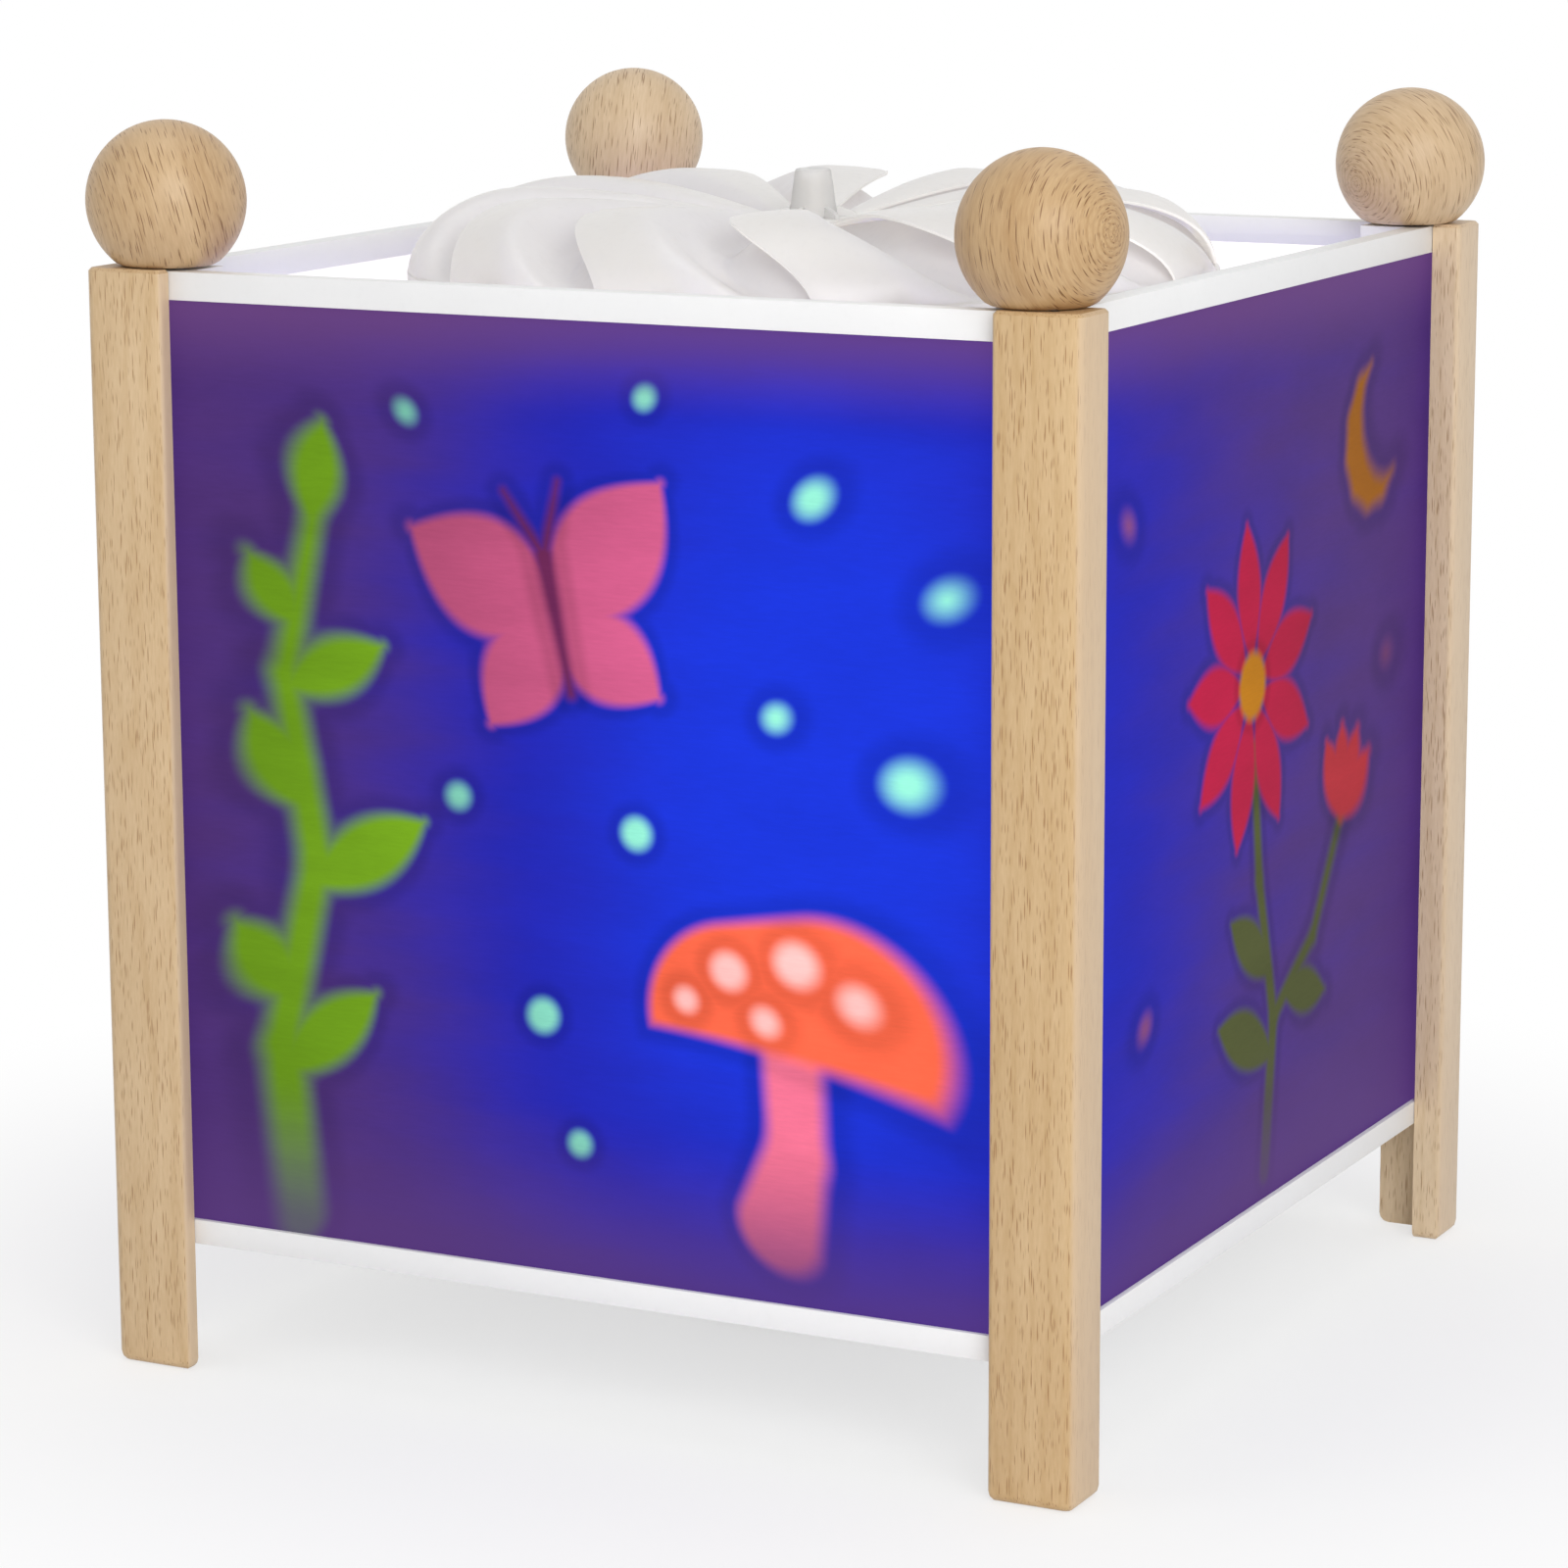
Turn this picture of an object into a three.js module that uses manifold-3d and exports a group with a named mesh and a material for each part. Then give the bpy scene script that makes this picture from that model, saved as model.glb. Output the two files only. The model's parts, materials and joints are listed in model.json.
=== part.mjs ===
// A carousel night light: a square lantern of four rebated beech posts, white trays and
// translucent panels, with a printed drum that hangs from a petal turbine and turns on a
// needle above the bulb. Millimetres, +Z up, origin on the floor midway between the feet.
import * as THREE from "three";
import { mergeVertices } from "three/addons/utils/BufferGeometryUtils.js";
import Module from "manifold-3d";

const wasm = await Module();
wasm.setup();

// Clearances and cutting
const seatGap = 0.1; // between pieces that are glued, clamped or pressed together
const restGap = 0.3; // between pieces that only lie close to each other
const cutOverrun = 1; // how far a cutter passes the face that it opens

// The square that the outer faces of the posts stand on
const footprint = 165;

// Corner posts: an L in plan, its rebate turned inwards, the outer edges rounded
const post = {
  height: 173,
  width: 13.6,
  depth: 10.4,
  sideLeg: 4.8,
  faceLeg: 2.6,
  cornerRound: 1.8,
  armRound: 0.9,
  footRound: 1.6,
  topRound: 0.5,
};

// Ball finials with a flat seat, each drawn down by a screw from under the top frame
const ball = {
  radius: 12.2,
  centreAboveSeat: 9.8,
  insetX: 9.7,
  insetY: 8.4,
  boreDepth: 13,
  seatRound: 0.3,
};
const finialScrew = {
  shankRadius: 1.3,
  reach: 12,
  headRadius: 2.1,
  headHeight: 1.6,
  pointLength: 2,
};

// Upper white frame: a channel that holds the top edges of the panels
const frame = {
  height: 4.3,
  belowPostTop: 0.3,
  outerLip: 0.9,
  innerLip: 1.3,
  web: 1.6,
  padSide: 9,
  padThickness: 2.4,
};

// Base plate with the lower channel, the lamp hole and the air slots
const base = {
  underside: 20.3,
  thickness: 3.9,
  grooveDepth: 2.4,
  slotCount: 12,
  slotInner: 28,
  slotOuter: 52,
  slotWidth: 3.6,
  lampHole: 5.2,
};

// Translucent side panels
const panel = { thickness: 1, groovePlay: 0.15, endPlay: 0.2 };

// Lamp holder, its screw shell, contact and fastenings
const holder = {
  bodyRadius: 14,
  bodyHeight: 22,
  sleeveRadius: 12,
  sleeveHeight: 16,
  boreRadius: 8.2,
  floor: 6,
  entryChamfer: 0.8,
};
const shell = { wall: 0.6, belowHolderTop: 2.9, floorHole: 4.4 };
const contact = { radius: 3.2, thickness: 0.8, studRadius: 1.4, studHeight: 2.6 };
const nipple = { outerRadius: 5, innerRadius: 3.7, length: 16, aboveFloor: 5 };
const lockNut = { acrossCorners: 16, height: 3 };
const ringNut = { outerRadius: 15.6, height: 5.6, gripCount: 16, gripDepth: 0.5 };

// Wire arch that carries the needle, and the washer that grips its legs
const arch = {
  wireRadius: 0.8,
  halfSpan: 19,
  rise: 28,
  flatTop: 14,
  legBelowWasher: 1.8,
};
const washer = { pastLegs: 3, thickness: 1.3 };
const ferrule = { radius: 2.5, height: 5, needleGrip: 1.2, belowHub: 3.3 };
const needle = { radius: 0.9, taper: 6, tipRadius: 0.15, tipBelowCup: 0.3 };

// Bulb
const bulb = {
  glassRadius: 14,
  centreAboveCollar: 31.2,
  neckRadius: 7,
  glassWall: 0.8,
  capRadius: 6.9,
  capRootRadius: 6.4,
  threadPitch: 2.8,
  threadTurns: 7,
  capWall: 0.5,
  collarRadius: 8.3,
  collarHeight: 3.2,
  neckInCollar: 2.4,
  tipRadius: 2.6,
  tipHeight: 2.2,
  stemRadius: 3.6,
  stemHeight: 22,
  leadRadius: 0.35,
  leadSpread: 5.5,
  filamentRise: 3,
  filamentWaveCount: 3,
};

// Petal turbine: the rises are above the top of its rim
const turbine = {
  bladeCount: 12,
  firstBladeDeg: 10.4,
  insideFrame: 10.5,
  belowFrameTop: 3.2,
  skirtWall: 0.9,
  skirtHeight: 11,
  shoulderDrop: 2,
  rootRadius: 6,
  crestInset: 18.6,
  rootRise: 7.7,
  crestRise: 11.5,
  trailRise: 8.5,
  valleyDepth: 3.4,
  bladeWall: 0.8,
  overlapDeg: 5,
  sweepInset: 35.6,
  sweepDeg: 17,
  rimTurnDeg: 80,
};
const hub = {
  collarRadius: 8,
  collarThickness: 2.4,
  capFootRadius: 3.9,
  capTopRadius: 2.8,
  capHeight: 7.6,
  capRound: 0.6,
  boreRadius: 2.3,
  crown: 1.4,
  noseLength: 3,
};
const cup = { height: 5.4, socketRadius: 1.5, socketTop: 0.4, crown: 0.6 };

// Printed drum and its two hoops
const drum = { wall: 0.4, aboveBase: 7.2, belowRimTop: 4.2 };
const topHoop = { wall: 1.2, height: 6 };
const bottomHoop = { lip: 1, lipHeight: 3.8, floor: 1.2 };

// Cover under the base plate, its screws and the cord gland
const cover = {
  radius: 25,
  depth: 16,
  wall: 1.6,
  lugReach: 7,
  lugWidth: 9,
  lugThickness: 2.4,
};
const coverScrew = {
  shankRadius: 1.4,
  headRadius: 2.8,
  headHeight: 1.7,
  bite: 2.6,
};
const gland = {
  boreRadius: 3.3,
  barrelRadius: 4.6,
  flangeRadius: 6,
  flangeThickness: 2,
  noseRadius: 5,
  noseLength: 7,
  insideLength: 4.5,
  nutRadius: 6,
  nutHeight: 2.4,
};

// How finely round pieces are faceted
const facets = {
  rimCount: 48,
  ballCount: 24,
  ballRingCount: 10,
  lampCount: 20,
  smallCount: 12,
  gripCount: 4,
  wireCount: 8,
  archStepCount: 44,
  leadStepCount: 32,
  bladeAlongCount: 4,
  bladeRoundCount: 4,
  bladeAcrossCount: 5,
  cornerCount: 3,
  bulbRingCount: 10,
};

// Places that follow from the sizes above
const half = footprint / 2;
const frameHalfX = half - post.sideLeg - seatGap;
const frameHalfY = half - post.faceLeg - seatGap;
const grooveWidth = panel.thickness + 2 * panel.groovePlay;
const frameTop = post.height - frame.belowPostTop;
const frameUnderside = frameTop - frame.height;
const frameGrooveTop = frameTop - frame.web;
const baseTop = base.underside + base.thickness;
const baseGrooveFloor = baseTop - base.grooveDepth;
const finialX = half - ball.insetX;
const finialY = half - ball.insetY;
const ballSeat = post.height + seatGap;
const padUnderside = frameTop - frame.padThickness;
const holderFloor = baseTop + seatGap;
const shoulderHeight = holderFloor + holder.bodyHeight;
const holderTop = shoulderHeight + holder.sleeveHeight;
const shellRadius = holder.boreRadius - seatGap;
const shellFloor = holderFloor + holder.floor + seatGap;
const contactTop = shellFloor + shell.wall + contact.studHeight;
const washerBottom = shoulderHeight + seatGap;
const washerTop = washerBottom + washer.thickness;
const washerRadius = arch.halfSpan + washer.pastLegs;
const tipBottom = contactTop + seatGap;
const capBottom = tipBottom + bulb.tipHeight;
const capThreadTop = capBottom + bulb.threadPitch * bulb.threadTurns;
const collarBottom = Math.max(holderTop + restGap, capThreadTop);
const collarTop = collarBottom + bulb.collarHeight;
const neckBottom = collarTop - bulb.neckInCollar;
const stemTop = collarTop + bulb.stemHeight;
const glassCentre = collarTop + bulb.centreAboveCollar;
const frameBand = frame.outerLip + grooveWidth + frame.innerLip;
const rimRadius = frameHalfX - frameBand - turbine.insideFrame;
const rimTop = frameTop - turbine.belowFrameTop;
const crestRadius = rimRadius - turbine.crestInset;
const sweepStart = rimRadius - turbine.sweepInset;
const rootHeight = rimTop + turbine.rootRise;
const collarUnderside = rootHeight - hub.collarThickness;
const capTop = rootHeight + hub.capHeight;
const hubBoreTop = capTop - hub.crown;
const cupTop = hubBoreTop - seatGap;
const cupBottom = cupTop - cup.height;
const cupRadius = hub.boreRadius - seatGap;
const needleTip = cupTop - cup.crown - needle.tipBelowCup;
const ferruleTop = collarUnderside - hub.noseLength - ferrule.belowHub;
const ferruleBottom = ferruleTop - ferrule.height;
const archTop = ferruleTop - ferrule.height / 2;
const archSpring = archTop - arch.rise;
const drumOuter = rimRadius - turbine.skirtWall - restGap;
const drumInner = drumOuter - drum.wall;
const drumTop = rimTop - drum.belowRimTop;
const drumBottom = baseTop + drum.aboveBase;
const coverTop = base.underside - seatGap;
const coverBottom = coverTop - cover.depth;
const coverScrewRadius = cover.radius + cover.lugReach / 2;
const glandHeight = coverBottom + cover.depth / 2;
const corners = [
  ["front_left", -1, -1],
  ["front_right", 1, -1],
  ["back_right", 1, 1],
  ["back_left", -1, 1],
];

// Materials, one look per kind of piece
const finish = (color, roughness, metalness = 0, opacity = 1) => () =>
  new THREE.MeshStandardMaterial({
    color,
    roughness,
    metalness,
    opacity,
    transparent: opacity < 1,
  });
const beech = finish(0xd7b98c, 0.6);
const beechBall = finish(0xc49a6c, 0.4);
const whiteLacquer = finish(0xf2f2f0, 0.45);
const printedPanel = finish(0x2a2bb0, 0.6);
const frostedPlastic = finish(0xe6e2de, 0.45);
const printedFilm = finish(0x3b3fc0, 0.35);
const hoopPlastic = finish(0xf0f0ee, 0.4);
const bakelite = finish(0xe9e6df, 0.5);
const brass = finish(0xc8a550, 0.35, 1);
const steel = finish(0xb8bcc2, 0.3, 1);
const nickel = finish(0xc9c7c0, 0.25, 1);
const clearGlass = finish(0xfff6e0, 0.05, 0, 0.4);
const blackPlastic = finish(0x1c1a18, 0.25);
const tungsten = finish(0xffd27a, 0.5, 1);

// A closed geometry as a solid that can be cut and joined.
function toSolid(geometry) {
  const bare = geometry.index ? geometry.toNonIndexed() : geometry.clone();
  bare.deleteAttribute("normal");
  bare.deleteAttribute("uv");
  const merged = mergeVertices(bare, 1e-4);
  return new wasm.Manifold(
    new wasm.Mesh({
      numProp: 3,
      vertProperties: new Float32Array(merged.attributes.position.array),
      triVerts: new Uint32Array(merged.index.array),
    }),
  );
}

function fromSolid(solid) {
  const mesh = solid.getMesh();
  const geometry = new THREE.BufferGeometry();
  const position = new Float32Array(mesh.numVert * 3);
  for (let i = 0; i < mesh.numVert; i++)
    position.set(mesh.vertProperties.subarray(i * mesh.numProp, i * mesh.numProp + 3), i * 3);
  geometry.setAttribute("position", new THREE.BufferAttribute(position, 3));
  geometry.setIndex(new THREE.BufferAttribute(mesh.triVerts, 1));
  const flat = geometry.toNonIndexed();
  flat.computeVertexNormals();
  return flat;
}

const join = (first, ...others) =>
  fromSolid(others.reduce((all, one) => all.add(toSolid(one)), toSolid(first)));
const cut = (first, ...others) =>
  fromSolid(others.reduce((all, one) => all.subtract(toSolid(one)), toSolid(first)));

function box(x0, x1, y0, y1, z0, z1) {
  const geometry = new THREE.BoxGeometry(x1 - x0, y1 - y0, z1 - z0);
  return geometry.translate((x0 + x1) / 2, (y0 + y1) / 2, (z0 + z1) / 2);
}

// The stretch from near to far on one side (-1 or 1) of the middle, lower end first.
const span = (side, near, far) => (side > 0 ? [near, far] : [-far, -near]);

// A profile of [radius, height] pairs turned about Z; it closes on itself or on the axis.
function turned(profile, segments) {
  const points = profile.map(([r, z]) => new THREE.Vector2(r, z));
  const area = points.reduce((sum, p, i) => sum + p.cross(points[(i + 1) % points.length]), 0);
  if (area < 0) points.reverse();
  if (points[0].x > 0 || points[points.length - 1].x > 0) points.push(points[0].clone());
  return new THREE.LatheGeometry(points, segments).rotateX(Math.PI / 2);
}

const rod = (radius, z0, z1, segments) =>
  turned([[0, z0], [radius, z0], [radius, z1], [0, z1]], segments);

const ring = (inner, outer, z0, z1, segments) =>
  turned([[inner, z0], [outer, z0], [outer, z1], [inner, z1]], segments);

// A round wire of the given radius along a curve.
function wire(curve, radius, steps) {
  const section = new THREE.Shape();
  for (let i = 0; i < facets.wireCount; i++) {
    const a = (i / facets.wireCount) * 2 * Math.PI;
    if (i === 0) section.moveTo(radius * Math.cos(a), radius * Math.sin(a));
    else section.lineTo(radius * Math.cos(a), radius * Math.sin(a));
  }
  return new THREE.ExtrudeGeometry(section, { steps, extrudePath: curve });
}

function hexPrism(acrossCorners, z0, z1) {
  const sideCount = 6;
  return rod(acrossCorners / 2, z0, z1, sideCount);
}

const lantern = new THREE.Group();
const carousel = new THREE.Group();
lantern.add(carousel);

function piece(name, geometry, material, parent = lantern) {
  const mesh = new THREE.Mesh(geometry, material());
  mesh.name = name;
  parent.add(mesh);
  return mesh;
}

// Outline of the L section, its outer corner at (0, 0), its outer faces drawn in by inset.
function postOutline(inset) {
  const { width, depth, sideLeg, faceLeg, cornerRound, armRound } = post;
  const points = [];
  const turn = (x, y, radius, startTurn) => {
    for (let i = 0; i <= facets.cornerCount; i++) {
      const a = (startTurn + i / facets.cornerCount) * (Math.PI / 2);
      points.push([x + radius * Math.cos(a), y + radius * Math.sin(a)]);
    }
  };
  const round = Math.max(cornerRound - inset, inset / 4);
  const arm = Math.max(armRound - inset, inset / 8);
  turn(inset + round, inset + round, round, 2);
  turn(width - inset - arm, inset + arm, arm, 3);
  points.push([width - inset, faceLeg], [sideLeg, faceLeg], [sideLeg, depth - inset]);
  turn(inset + arm, depth - inset - arm, arm, 1);
  return points;
}

// The post as rings of its outline: the foot and the top end are rounded over.
function postGeometry() {
  const { height, footRound, topRound } = post;
  const levels = [];
  for (let i = 0; i <= facets.cornerCount; i++) {
    const a = (i / facets.cornerCount) * (Math.PI / 2);
    levels.push([footRound * (1 - Math.sin(a)), footRound * (1 - Math.cos(a))]);
  }
  levels.push([0, height - topRound], [topRound, height]);
  const rings = levels.map(([inset, z]) => postOutline(inset).map(([x, y]) => [x, y, z]));
  const count = rings[0].length;
  const capOf = (points) =>
    THREE.ShapeUtils.triangulateShape(points.map(([x, y]) => new THREE.Vector2(x, y)), []);
  const index = [];
  for (const [a, b, c] of capOf(rings[0])) index.push(a, c, b);
  const top = (rings.length - 1) * count;
  for (const [a, b, c] of capOf(rings.at(-1))) index.push(top + a, top + b, top + c);
  for (let k = 0; k + 1 < rings.length; k++)
    for (let i = 0; i < count; i++) {
      const j = (i + 1) % count;
      const [a, b] = [k * count + i, k * count + j];
      index.push(a, b, b + count, a, b + count, a + count);
    }
  const geometry = new THREE.BufferGeometry();
  geometry.setAttribute("position", new THREE.Float32BufferAttribute(rings.flat(2), 3));
  geometry.setIndex(index);
  geometry.computeVertexNormals();
  return geometry;
}

function makePosts() {
  for (const [corner, sx, sy] of corners) {
    const mesh = piece("post_" + corner, postGeometry(), beech);
    mesh.position.set(sx * half, sy * half, 0);
    mesh.scale.set(-sx, -sy, 1);
  }
}

// A ball whose flat seat is at height 0, with a blind hole for its screw.
function ballGeometry() {
  const { radius, centreAboveSeat, boreDepth, seatRound } = ball;
  const bore = finialScrew.shankRadius + seatGap;
  const seatAngle = -Math.asin(centreAboveSeat / radius);
  const profile = [[0, boreDepth], [bore, boreDepth], [bore, 0]];
  profile.push([Math.sqrt(radius ** 2 - centreAboveSeat ** 2) - seatRound, 0]);
  for (let i = 1; i <= facets.ballRingCount; i++) {
    const a = seatAngle + (i / facets.ballRingCount) * (Math.PI / 2 - seatAngle);
    profile.push([radius * Math.cos(a), centreAboveSeat + radius * Math.sin(a)]);
  }
  profile[profile.length - 1][0] = 0;
  return turned(profile, facets.ballCount);
}

// A screw that points up, its pan head below.
function screwGeometry(shank, headTop, tip, head, headHeight, point) {
  const crownShare = 0.7;
  return turned(
    [
      [0, headTop - headHeight],
      [head * crownShare, headTop - headHeight],
      [head, headTop - headHeight / 2],
      [head, headTop],
      [shank, headTop],
      [shank, tip - point],
      [0, tip],
    ],
    facets.smallCount,
  );
}

function makeFinials() {
  const { shankRadius, reach, headRadius, headHeight, pointLength } = finialScrew;
  const headTop = padUnderside - seatGap;
  const tip = ballSeat + reach;
  for (const [corner, sx, sy] of corners) {
    const turnedBall = piece("finial_" + corner, ballGeometry(), beechBall);
    turnedBall.position.set(sx * finialX, sy * finialY, ballSeat);
    const screw = screwGeometry(shankRadius, headTop, tip, headRadius, headHeight, pointLength);
    piece("finial_screw_" + corner, screw, steel).position.set(sx * finialX, sy * finialY, 0);
  }
}

// A rectangular ring between two heights, its outer faces inset from the frame's faces.
function channelRing(inset, width, z0, z1) {
  const [x, y] = [frameHalfX - inset, frameHalfY - inset];
  return cut(
    box(-x, x, -y, y, z0, z1),
    box(-x + width, x - width, -y + width, y - width, z0 - cutOverrun, z1 + cutOverrun),
  );
}

function makeTopFrame() {
  const { outerLip, padSide } = frame;
  const padX = frameHalfX - outerLip - grooveWidth;
  const padY = frameHalfY - outerLip - grooveWidth;
  const pads = corners.map(([, sx, sy]) =>
    box(...span(sx, padX - padSide, padX), ...span(sy, padY - padSide, padY), padUnderside, frameTop),
  );
  const body = join(channelRing(0, frameBand, frameUnderside, frameTop), ...pads);
  const groove = channelRing(outerLip, grooveWidth, frameUnderside - cutOverrun, frameGrooveTop);
  const holes = corners.flatMap(([, sx, sy]) => [
    rod(finialScrew.shankRadius + seatGap, padUnderside - cutOverrun, frameTop + cutOverrun, facets.smallCount)
      .translate(sx * finialX, sy * finialY, 0),
    rod(finialScrew.headRadius + seatGap, frameUnderside - cutOverrun, padUnderside, facets.smallCount)
      .translate(sx * finialX, sy * finialY, 0),
  ]);
  piece("top_frame", cut(body, groove, ...holes), whiteLacquer);
}

// A radial air slot with round ends, standing across the plate.
function airSlot(turn) {
  const { slotInner, slotOuter, slotWidth } = base;
  const [z0, z1] = [base.underside - cutOverrun, baseTop + cutOverrun];
  const r = slotWidth / 2;
  return join(
    box(slotInner, slotOuter, -r, r, z0, z1),
    rod(r, z0, z1, facets.smallCount).translate(slotInner, 0, 0),
    rod(r, z0, z1, facets.smallCount).translate(slotOuter, 0, 0),
  ).rotateZ(turn);
}

function makeBasePlate() {
  const plate = box(-frameHalfX, frameHalfX, -frameHalfY, frameHalfY, base.underside, baseTop);
  const groove = channelRing(frame.outerLip, grooveWidth, baseGrooveFloor, baseTop + cutOverrun);
  const slots = Array.from({ length: base.slotCount }, (_, i) =>
    airSlot(((i + 0.5) / base.slotCount) * 2 * Math.PI),
  );
  const lampHole = rod(base.lampHole, base.underside - cutOverrun, baseTop + cutOverrun, facets.lampCount);
  const pilots = [-1, 1].map((side) =>
    rod(coverScrew.shankRadius + seatGap, base.underside - cutOverrun,
      base.underside + coverScrew.bite + restGap, facets.smallCount)
      .translate(side * coverScrewRadius, 0, 0),
  );
  piece("base_plate", cut(plate, groove, ...slots, lampHole, ...pilots), whiteLacquer);
}

function makePanels() {
  const [z0, z1] = [baseGrooveFloor + panel.endPlay, frameGrooveTop - panel.endPlay];
  const outerX = frameHalfX - frame.outerLip - panel.groovePlay;
  const outerY = frameHalfY - frame.outerLip - panel.groovePlay;
  const innerX = outerX - panel.thickness;
  const innerY = outerY - panel.thickness;
  const sideEnd = innerY - restGap;
  piece("panel_front", box(-outerX, outerX, -outerY, -innerY, z0, z1), printedPanel);
  piece("panel_back", box(-outerX, outerX, innerY, outerY, z0, z1), printedPanel);
  piece("panel_right", box(innerX, outerX, -sideEnd, sideEnd, z0, z1), printedPanel);
  piece("panel_left", box(-outerX, -innerX, -sideEnd, sideEnd, z0, z1), printedPanel);
}

function makeHolder() {
  const { bodyRadius, sleeveRadius, boreRadius, floor, entryChamfer } = holder;
  const nippleHole = nipple.outerRadius + seatGap;
  piece(
    "lamp_holder",
    turned(
      [
        [nippleHole, holderFloor],
        [bodyRadius, holderFloor],
        [bodyRadius, shoulderHeight],
        [sleeveRadius, shoulderHeight],
        [sleeveRadius, holderTop - entryChamfer],
        [sleeveRadius - entryChamfer, holderTop],
        [boreRadius, holderTop],
        [boreRadius, holderFloor + floor],
        [nippleHole, holderFloor + floor],
      ],
      facets.lampCount,
    ),
    bakelite,
  );
  const shellTop = holderTop - shell.belowHolderTop;
  piece(
    "screw_shell",
    turned(
      [
        [shell.floorHole, shellFloor],
        [shellRadius, shellFloor],
        [shellRadius, shellTop],
        [shellRadius - shell.wall, shellTop],
        [shellRadius - shell.wall, shellFloor + shell.wall],
        [shell.floorHole, shellFloor + shell.wall],
      ],
      facets.lampCount,
    ),
    brass,
  );
  const contactBottom = shellFloor + shell.wall - contact.thickness;
  piece(
    "centre_contact",
    turned(
      [
        [0, contactBottom],
        [contact.radius, contactBottom],
        [contact.radius, contactBottom + contact.thickness],
        [contact.studRadius, contactBottom + contact.thickness],
        [contact.studRadius, contactTop],
        [0, contactTop],
      ],
      facets.smallCount,
    ),
    brass,
  );
}

function makeHolderFastenings() {
  const nippleTop = holderFloor + nipple.aboveFloor;
  piece(
    "threaded_nipple",
    ring(nipple.innerRadius, nipple.outerRadius, nippleTop - nipple.length, nippleTop, facets.lampCount),
    steel,
  );
  const nutTop = base.underside - seatGap;
  piece(
    "lock_nut",
    cut(
      hexPrism(lockNut.acrossCorners, nutTop - lockNut.height, nutTop),
      rod(nipple.outerRadius + seatGap, nutTop - lockNut.height - cutOverrun, nutTop + cutOverrun,
        facets.lampCount),
    ),
    steel,
  );
  const legHoles = [-1, 1].map((side) =>
    rod(arch.wireRadius + seatGap, washerBottom - cutOverrun, washerTop + cutOverrun, facets.smallCount)
      .translate(side * arch.halfSpan, 0, 0),
  );
  const sleeveFit = holder.sleeveRadius + seatGap;
  piece(
    "arch_washer",
    cut(ring(sleeveFit, washerRadius, washerBottom, washerTop, facets.lampCount), ...legHoles),
    steel,
  );
  const nutBottom = washerTop + seatGap;
  const grips = Array.from({ length: ringNut.gripCount }, (_, i) => {
    const a = (i / ringNut.gripCount) * 2 * Math.PI;
    return rod(2 * ringNut.gripDepth, nutBottom - cutOverrun, nutBottom + ringNut.height + cutOverrun,
      facets.gripCount)
      .translate(
        (ringNut.outerRadius + ringNut.gripDepth) * Math.cos(a),
        (ringNut.outerRadius + ringNut.gripDepth) * Math.sin(a),
        0,
      );
  });
  piece(
    "ring_nut",
    cut(
      ring(sleeveFit, ringNut.outerRadius, nutBottom, nutBottom + ringNut.height, facets.lampCount),
      ...grips,
    ),
    bakelite,
  );
}

// The arch in the XZ plane: leg, quarter of an ellipse, flat top, quarter of an ellipse, leg.
function archCurve() {
  const { halfSpan, rise, flatTop, legBelowWasher } = arch;
  const legEnd = washerBottom - legBelowWasher;
  const flatHalf = flatTop / 2;
  const quarterEllipseShare = 0.5523;
  const path = new THREE.CurvePath();
  const at = (side, x, z) => new THREE.Vector3(side * x, 0, z);
  const quarter = (side) => [
    at(side, halfSpan, archSpring),
    at(side, halfSpan, archSpring + quarterEllipseShare * rise),
    at(side, flatHalf + quarterEllipseShare * (halfSpan - flatHalf), archTop),
    at(side, flatHalf, archTop),
  ];
  path.add(new THREE.LineCurve3(at(-1, halfSpan, legEnd), at(-1, halfSpan, archSpring)));
  path.add(new THREE.CubicBezierCurve3(...quarter(-1)));
  path.add(new THREE.LineCurve3(at(-1, flatHalf, archTop), at(1, flatHalf, archTop)));
  path.add(new THREE.CubicBezierCurve3(...quarter(1).reverse()));
  path.add(new THREE.LineCurve3(at(1, halfSpan, archSpring), at(1, halfSpan, legEnd)));
  return path;
}

function makeArch() {
  piece("wire_arch", wire(archCurve(), arch.wireRadius, facets.archStepCount), steel);
  const wireHole = rod(arch.wireRadius + seatGap, -ferrule.radius - cutOverrun,
    ferrule.radius + cutOverrun, facets.smallCount).rotateY(Math.PI / 2).translate(0, 0, archTop);
  const needleBottom = ferruleTop - ferrule.needleGrip;
  const needleHole = rod(needle.radius + seatGap, needleBottom, ferruleTop + cutOverrun, facets.smallCount);
  piece(
    "needle_ferrule",
    cut(rod(ferrule.radius, ferruleBottom, ferruleTop, facets.lampCount), wireHole, needleHole),
    brass,
  );
  piece(
    "pivot_needle",
    turned(
      [
        [0, needleBottom + seatGap],
        [needle.radius, needleBottom + seatGap],
        [needle.radius, needleTip - needle.taper],
        [needle.tipRadius, needleTip],
        [0, needleTip],
      ],
      facets.smallCount,
    ),
    steel,
  );
}

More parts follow.
